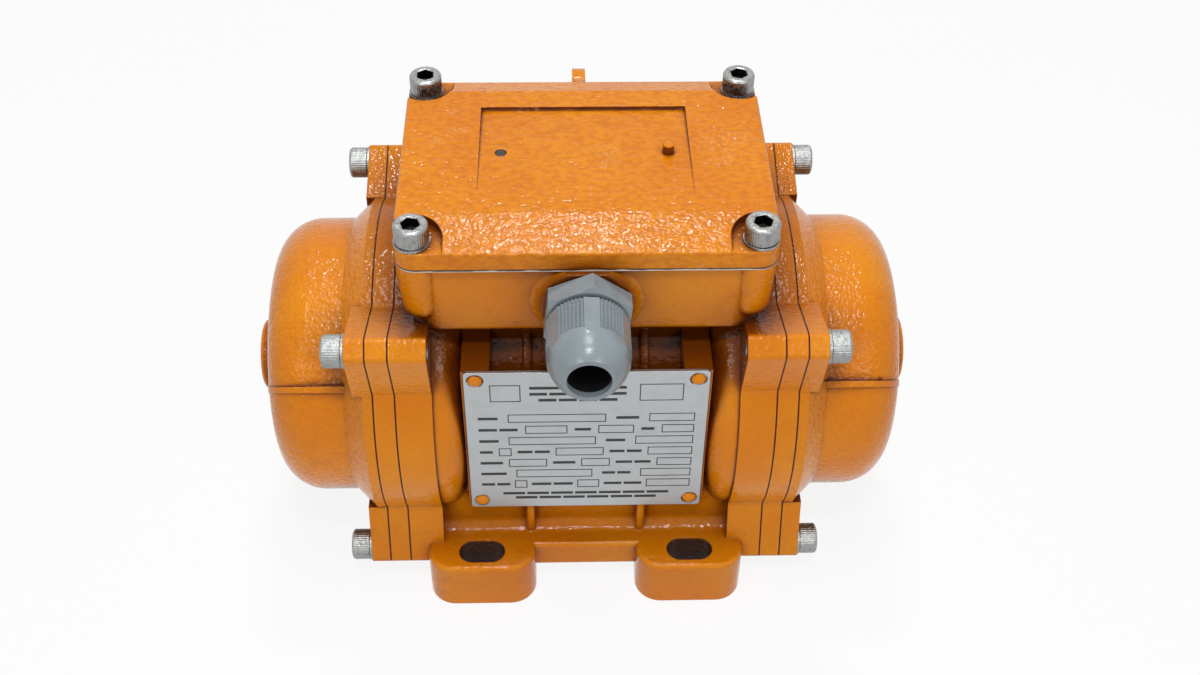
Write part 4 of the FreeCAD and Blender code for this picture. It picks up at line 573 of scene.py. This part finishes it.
# ================================================================ lid and gasket
# Cast lid with sloped ends and sunk screw pockets over a pale fibre gasket, sprayed in place.
# Its top kept the hammered skin of the mould; the label field is one step deeper.
GASKET = srgb(222, 214, 200)
GASKET_EDGE = srgb(52, 30, 20)
SEALER_WANDER = 0.2 * MM
SEALER_FADE = 0.1 * MM
LID_PIMPLE = 1.6 * MM
LID_PIMPLE_DEPTH = 0.38 * MM
LID_STRETCH = (0.65, 1.0, 1.0)


def gasket_fibre():
    """Pressed fibre whose upper edge has a dark line of old sealer."""
    finish, tree, shader = new_finish("gasket_fibre")
    low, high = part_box("terminal_gasket")
    height = add(tree, "SeparateXYZ", Vector=place(tree)).outputs["Z"]
    middle = (low.z + high.z) / 2
    wander = between(tree, grain(tree, 6 * MM, 2.0), 0.3, 0.7, -SEALER_WANDER, SEALER_WANDER)
    sealer = between(tree, sums(tree, "ADD", height, wander), middle - SEALER_FADE, middle + SEALER_FADE)
    tree.links.new(layered(tree, sealer, GASKET, GASKET_EDGE), shader.inputs["Base Color"])
    tree.links.new(between(tree, sealer, 0.0, 1.0, 0.8, 0.4), shader.inputs["Roughness"])
    tree.links.new(relief(tree, grain(tree, 0.5 * MM, 3.0), 0.05 * MM), shader.inputs["Normal"])
    return finish


dress(gasket_fibre(), "terminal_gasket")
dress(enamel("lid_enamel", LID_PIMPLE, LID_PIMPLE_DEPTH, 0.45, stretch=LID_STRETCH, scuffs=0.4),
      "terminal_cover")


# ================================================================ lid screws and label pins
# The same socket head screws hold the lid, on plain washers in their pockets.
# Two pins in the label field: a bare one driven flush and a painted one left proud.
LID_SCREW_TURNS = (20, 2, 41, 8)
low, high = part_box("terminal_cover_screws")
seat_z = high.z - M6_HEAD_H
seats = [Vector((x, y, seat_z)) for x in (low.x + M6_HEAD_R, high.x - M6_HEAD_R)
         for y in (low.y + M6_HEAD_R, high.y - M6_HEAD_R)]
four_screws("knurled_lid_screws", "terminal_cover_screws", seats,
            (0, 0, 1), seat_z - low.z, LID_SCREW_TURNS)
dress(zinc, "terminal_cover_washers")
dress(dark_steel, "label_pin_left")
dress(casing_enamel, "label_pin_right")


# ================================================================ cable gland
# Moulded nylon body, screwed into the box's boss over a sealing washer, and its fluted dome nut.
# A rubber sleeve inside grips the cable when the nut is screwed down.
GLAND_GREY = srgb(140, 151, 157)
dress(moulded("grey_nylon", GLAND_GREY, 0.22, 1.0 * MM, 0.02 * MM, 0.88), "gland_body", "gland_nut")
dress(rubber, "gland_washer", "gland_seal")


# ================================================================ data plate
# Satin anodised plate riveted to the cast pads; the rivets went through the spray with the casing.
# Its print is a blank form: ruled boxes with a short bar before each, and no writing.
PLATE_GREY = srgb(184, 188, 190)
PRINT_BLACK = srgb(46, 44, 44)
PRINT_LIFT = 0.03 * MM
RULE = 0.32 * MM
BAR = 1.15 * MM
FORM_MARGIN = 3.6 * MM
FORM_HEAD = 18.0 * MM
ROW_PITCH = 5.1 * MM
BOX_HEIGHT = 3.6 * MM
WORD_GAP = 0.7 * MM
# Head and foot of the form. Left ends and widths are shares of its width, tops are millimetres.
HEAD_BOX_TOP = 5.2 * MM
HEAD_BOX_HEIGHT = 7.2 * MM
HEAD_BOXES = ((0.06, 0.14), (0.74, 0.2))
HEAD_LINES = ((6.0, 0.24, 0.44, 3), (8.6, 0.24, 0.44, 5), (11.2, 0.28, 0.36, 4))
FOOT_LINES = ((0.6, 0.1, 0.8, 7), (2.7, 0.16, 0.68, 6))
# Rows of the form, each a run of (bar, box) widths in millimetres. A longer bar is two words.
LONG_BAR = 8
FORM_ROWS = (((6, 30), (7, 14)), ((12, 13), (5, 11), (4, 10)), ((6, 27), (6, 18)),
             ((4, 4), (10, 15), (10, 14)), ((7, 12), (7, 9), (11, 11)), ((8, 24), (9, 16)),
             ((9, 4), (13, 7), (12, 14)))
plate_low, plate_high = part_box("data_plate")


def printed(shape, left, top, width, height):
    """Adds one flat printed patch, placed from the plate's upper left corner."""
    x0, z1 = plate_low.x + left, plate_high.z - top
    corners = [(x0, z1 - height), (x0 + width, z1 - height), (x0 + width, z1), (x0, z1)]
    shape.faces.new([shape.verts.new((x, plate_low.y - PRINT_LIFT, z)) for x, z in corners])


def ruled_box(shape, left, top, width, height):
    """Outline of one empty box of the form."""
    printed(shape, left, top, width, RULE)
    printed(shape, left, top + height - RULE, width, RULE)
    printed(shape, left, top + RULE, RULE, height - 2 * RULE)
    printed(shape, left + width - RULE, top + RULE, RULE, height - 2 * RULE)


def word_bars(shape, left, top, width, words):
    """A run of short bars where the form would name something."""
    length = (width - (words - 1) * WORD_GAP) / words
    for word in range(words):
        printed(shape, left + word * (length + WORD_GAP), top, length, BAR)


def plate_form():
    """Head, seven rows of boxes and two closing lines, printed on the plate's face."""
    shape = bmesh.new()
    width = plate_high.x - plate_low.x - 2 * FORM_MARGIN
    for start, share in HEAD_BOXES:
        ruled_box(shape, FORM_MARGIN + start * width, HEAD_BOX_TOP, share * width, HEAD_BOX_HEIGHT)
    for top, start, share, words in HEAD_LINES:
        word_bars(shape, FORM_MARGIN + start * width, top * MM, share * width, words)
    for row, fields in enumerate(FORM_ROWS):
        top = FORM_HEAD + row * ROW_PITCH
        used = sum(bar + box for bar, box in fields) * MM
        gap = (width - used) / (2 * len(fields) - 1)
        left = FORM_MARGIN
        for bar, box in fields:
            words = 2 if bar > LONG_BAR else 1
            word_bars(shape, left, top + (BOX_HEIGHT - BAR) / 2, bar * MM, words)
            left += bar * MM + gap
            ruled_box(shape, left, top, box * MM, BOX_HEIGHT)
            left += box * MM + gap
    foot = FORM_HEAD + len(FORM_ROWS) * ROW_PITCH
    for top, start, share, words in FOOT_LINES:
        word_bars(shape, FORM_MARGIN + start * width, foot + top * MM, share * width, words)
    return shape


RIVET_HEAD_R = 2.3 * MM
RIVET_SHADE_WIDTH = 0.5 * MM
rivets_low, rivets_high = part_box("data_plate_rivets")
rivets_middle = (rivets_low + rivets_high) / 2


def rivet_gap_shade(tree):
    """1 in a broken ring of painted shade on the plate round each of the four rivet heads, where the gap
    under the head lies.
    """
    spot = add(tree, "SeparateXYZ", Vector=place(tree)).outputs
    squared = []
    for axis, middle, edge in (("X", rivets_middle.x, rivets_high.x),
                               ("Z", rivets_middle.z, rivets_high.z)):
        mirrored = sums(tree, "ABSOLUTE", sums(tree, "SUBTRACT", spot[axis], middle), 0.0)
        past_rivet = sums(tree, "SUBTRACT", mirrored, edge - middle - RIVET_HEAD_R)
        squared.append(sums(tree, "POWER", past_rivet, 2.0))
    away = sums(tree, "POWER", sums(tree, "ADD", *squared), 0.5)
    ring = between(tree, away, RIVET_HEAD_R + RIVET_SHADE_WIDTH, RIVET_HEAD_R + 0.4 * RIVET_SHADE_WIDTH)
    return sums(tree, "MULTIPLY", ring, between(tree, grain(tree, 3 * MM, 2.0), 0.4, 0.55, 0.25, 0.95))


dress(metal("plate_aluminium", PLATE_GREY, 0.4, 0.05, scratch=(0.05, 1.0, 1.0), depth=0.003 * MM,
            blotched=0.12, stain_and_shade=rivet_gap_shade), "data_plate")
plate_print = new_piece("plate_print", plate_form(), moulded("print_ink", PRINT_BLACK, 0.5, 0.3 * MM, 0.0))
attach(plate_print, "casing")
dress(casing_enamel, "data_plate_rivets")


# ================================================================ floor and light
# A white studio floor under five soft lamps: one overhead, one before and one behind it, whose
# reflections make the cast skin sparkle, and a low panel on each side in front.
FLOOR_WHITE = (0.93, 0.93, 0.93, 1.0)
FLOOR_HALF = 3.0
FLOOR_GLOW = 0.88


def shows_white(tree):
    """1 for what the camera sees of the studio, directly or in a reflection, and 0 for its light."""
    rays = add(tree, "LightPath").outputs
    mirrored = sums(tree, "MAXIMUM", rays["Is Glossy Ray"], rays["Is Transmission Ray"])
    return sums(tree, "MAXIMUM", rays["Is Camera Ray"], mirrored)


floor_shape = bmesh.new()
floor_shape.faces.new([floor_shape.verts.new((x * FLOOR_HALF, y * FLOOR_HALF, 0))
                       for x, y in ((-1, -1), (1, -1), (1, 1), (-1, 1))])
studio_white, tree, shader = new_finish("studio_white")
shader.inputs["Base Color"].default_value = FLOOR_WHITE
shader.inputs["Roughness"].default_value = 0.9
shader.inputs["Specular IOR Level"].default_value = 0.0
glow = add(tree, "Emission", Color=(1, 1, 1, 1), Strength=1.0)
mixed = add(tree, "MixShader", Fac=sums(tree, "MULTIPLY", shows_white(tree), FLOOR_GLOW))
tree.links.new(shader.outputs["BSDF"], mixed.inputs[1])
tree.links.new(glow.outputs["Emission"], mixed.inputs[2])
tree.links.new(mixed.outputs["Shader"], tree.nodes["Material Output"].inputs["Surface"])
new_piece("studio_floor", floor_shape, studio_white)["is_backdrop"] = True


MOTOR_MIDDLE = Vector((0.0, 0.0, 0.07))


def soft_box(name, width, height, watts, stand):
    """Rectangular lamp at a point, turned to the middle of the motor."""
    lamp = bpy.data.lights.new(name, "AREA")
    lamp.shape = "RECTANGLE"
    lamp.size, lamp.size_y, lamp.energy = width, height, watts
    holder = bpy.data.objects.new(name, lamp)
    holder.location = stand
    holder.rotation_euler = (MOTOR_MIDDLE - Vector(stand)).to_track_quat("-Z", "Y").to_euler()
    bpy.context.scene.collection.objects.link(holder)


soft_box("left_panel", 0.3, 0.3, 1.3, (-0.4, -0.75, 0.6))
soft_box("right_panel", 0.3, 0.3, 1.3, (0.4, -0.75, 0.6))
soft_box("rear_lamp", 0.16, 0.1, 3.6, (0.0, 0.43, 1.08))
soft_box("front_lamp", 0.18, 0.1, 3.2, (0.0, -0.45, 1.03))
soft_box("top_lamp", 0.35, 0.35, 3.2, (0.0, -0.02, 1.25))

WORLD_FILL = 0.1
world = bpy.data.worlds.new("studio_air")
world.use_nodes = True
bpy.context.scene.world = world
air = world.node_tree
background = air.nodes["Background"]
background.inputs["Color"].default_value = (1, 1, 1, 1)
air.links.new(between(air, shows_white(air), 0.0, 1.0, WORLD_FILL, 1.0), background.inputs["Strength"])


# ================================================================ camera and sizes
# The camera stands 0.35 m in front of the shaft and 0.4 m over the floor, and looks down at the
# lid and the plate. The bounds of the dressed model are measured.
CAMERA_STAND = (-0.00833, -0.35223, 0.40499)
CAMERA_HEADING = 2.243
CAMERA_PITCH = 44.048
CAMERA_TILT = 1.006
CAMERA_LENS = 44.25
camera_data = bpy.data.cameras.new("studio_camera")
camera_data.lens = CAMERA_LENS
camera_data.clip_start = 0.02
camera = bpy.data.objects.new("studio_camera", camera_data)
turned = (Matrix.Rotation(math.radians(-CAMERA_HEADING), 4, "Z")
          @ Matrix.Rotation(math.radians(90 - CAMERA_PITCH), 4, "X")
          @ Matrix.Rotation(math.radians(CAMERA_TILT), 4, "Z"))
camera.matrix_world = Matrix.Translation(CAMERA_STAND) @ turned
bpy.context.scene.collection.objects.link(camera)
bpy.context.scene.camera = camera
bpy.context.scene.view_settings.view_transform = "Standard"

low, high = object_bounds()
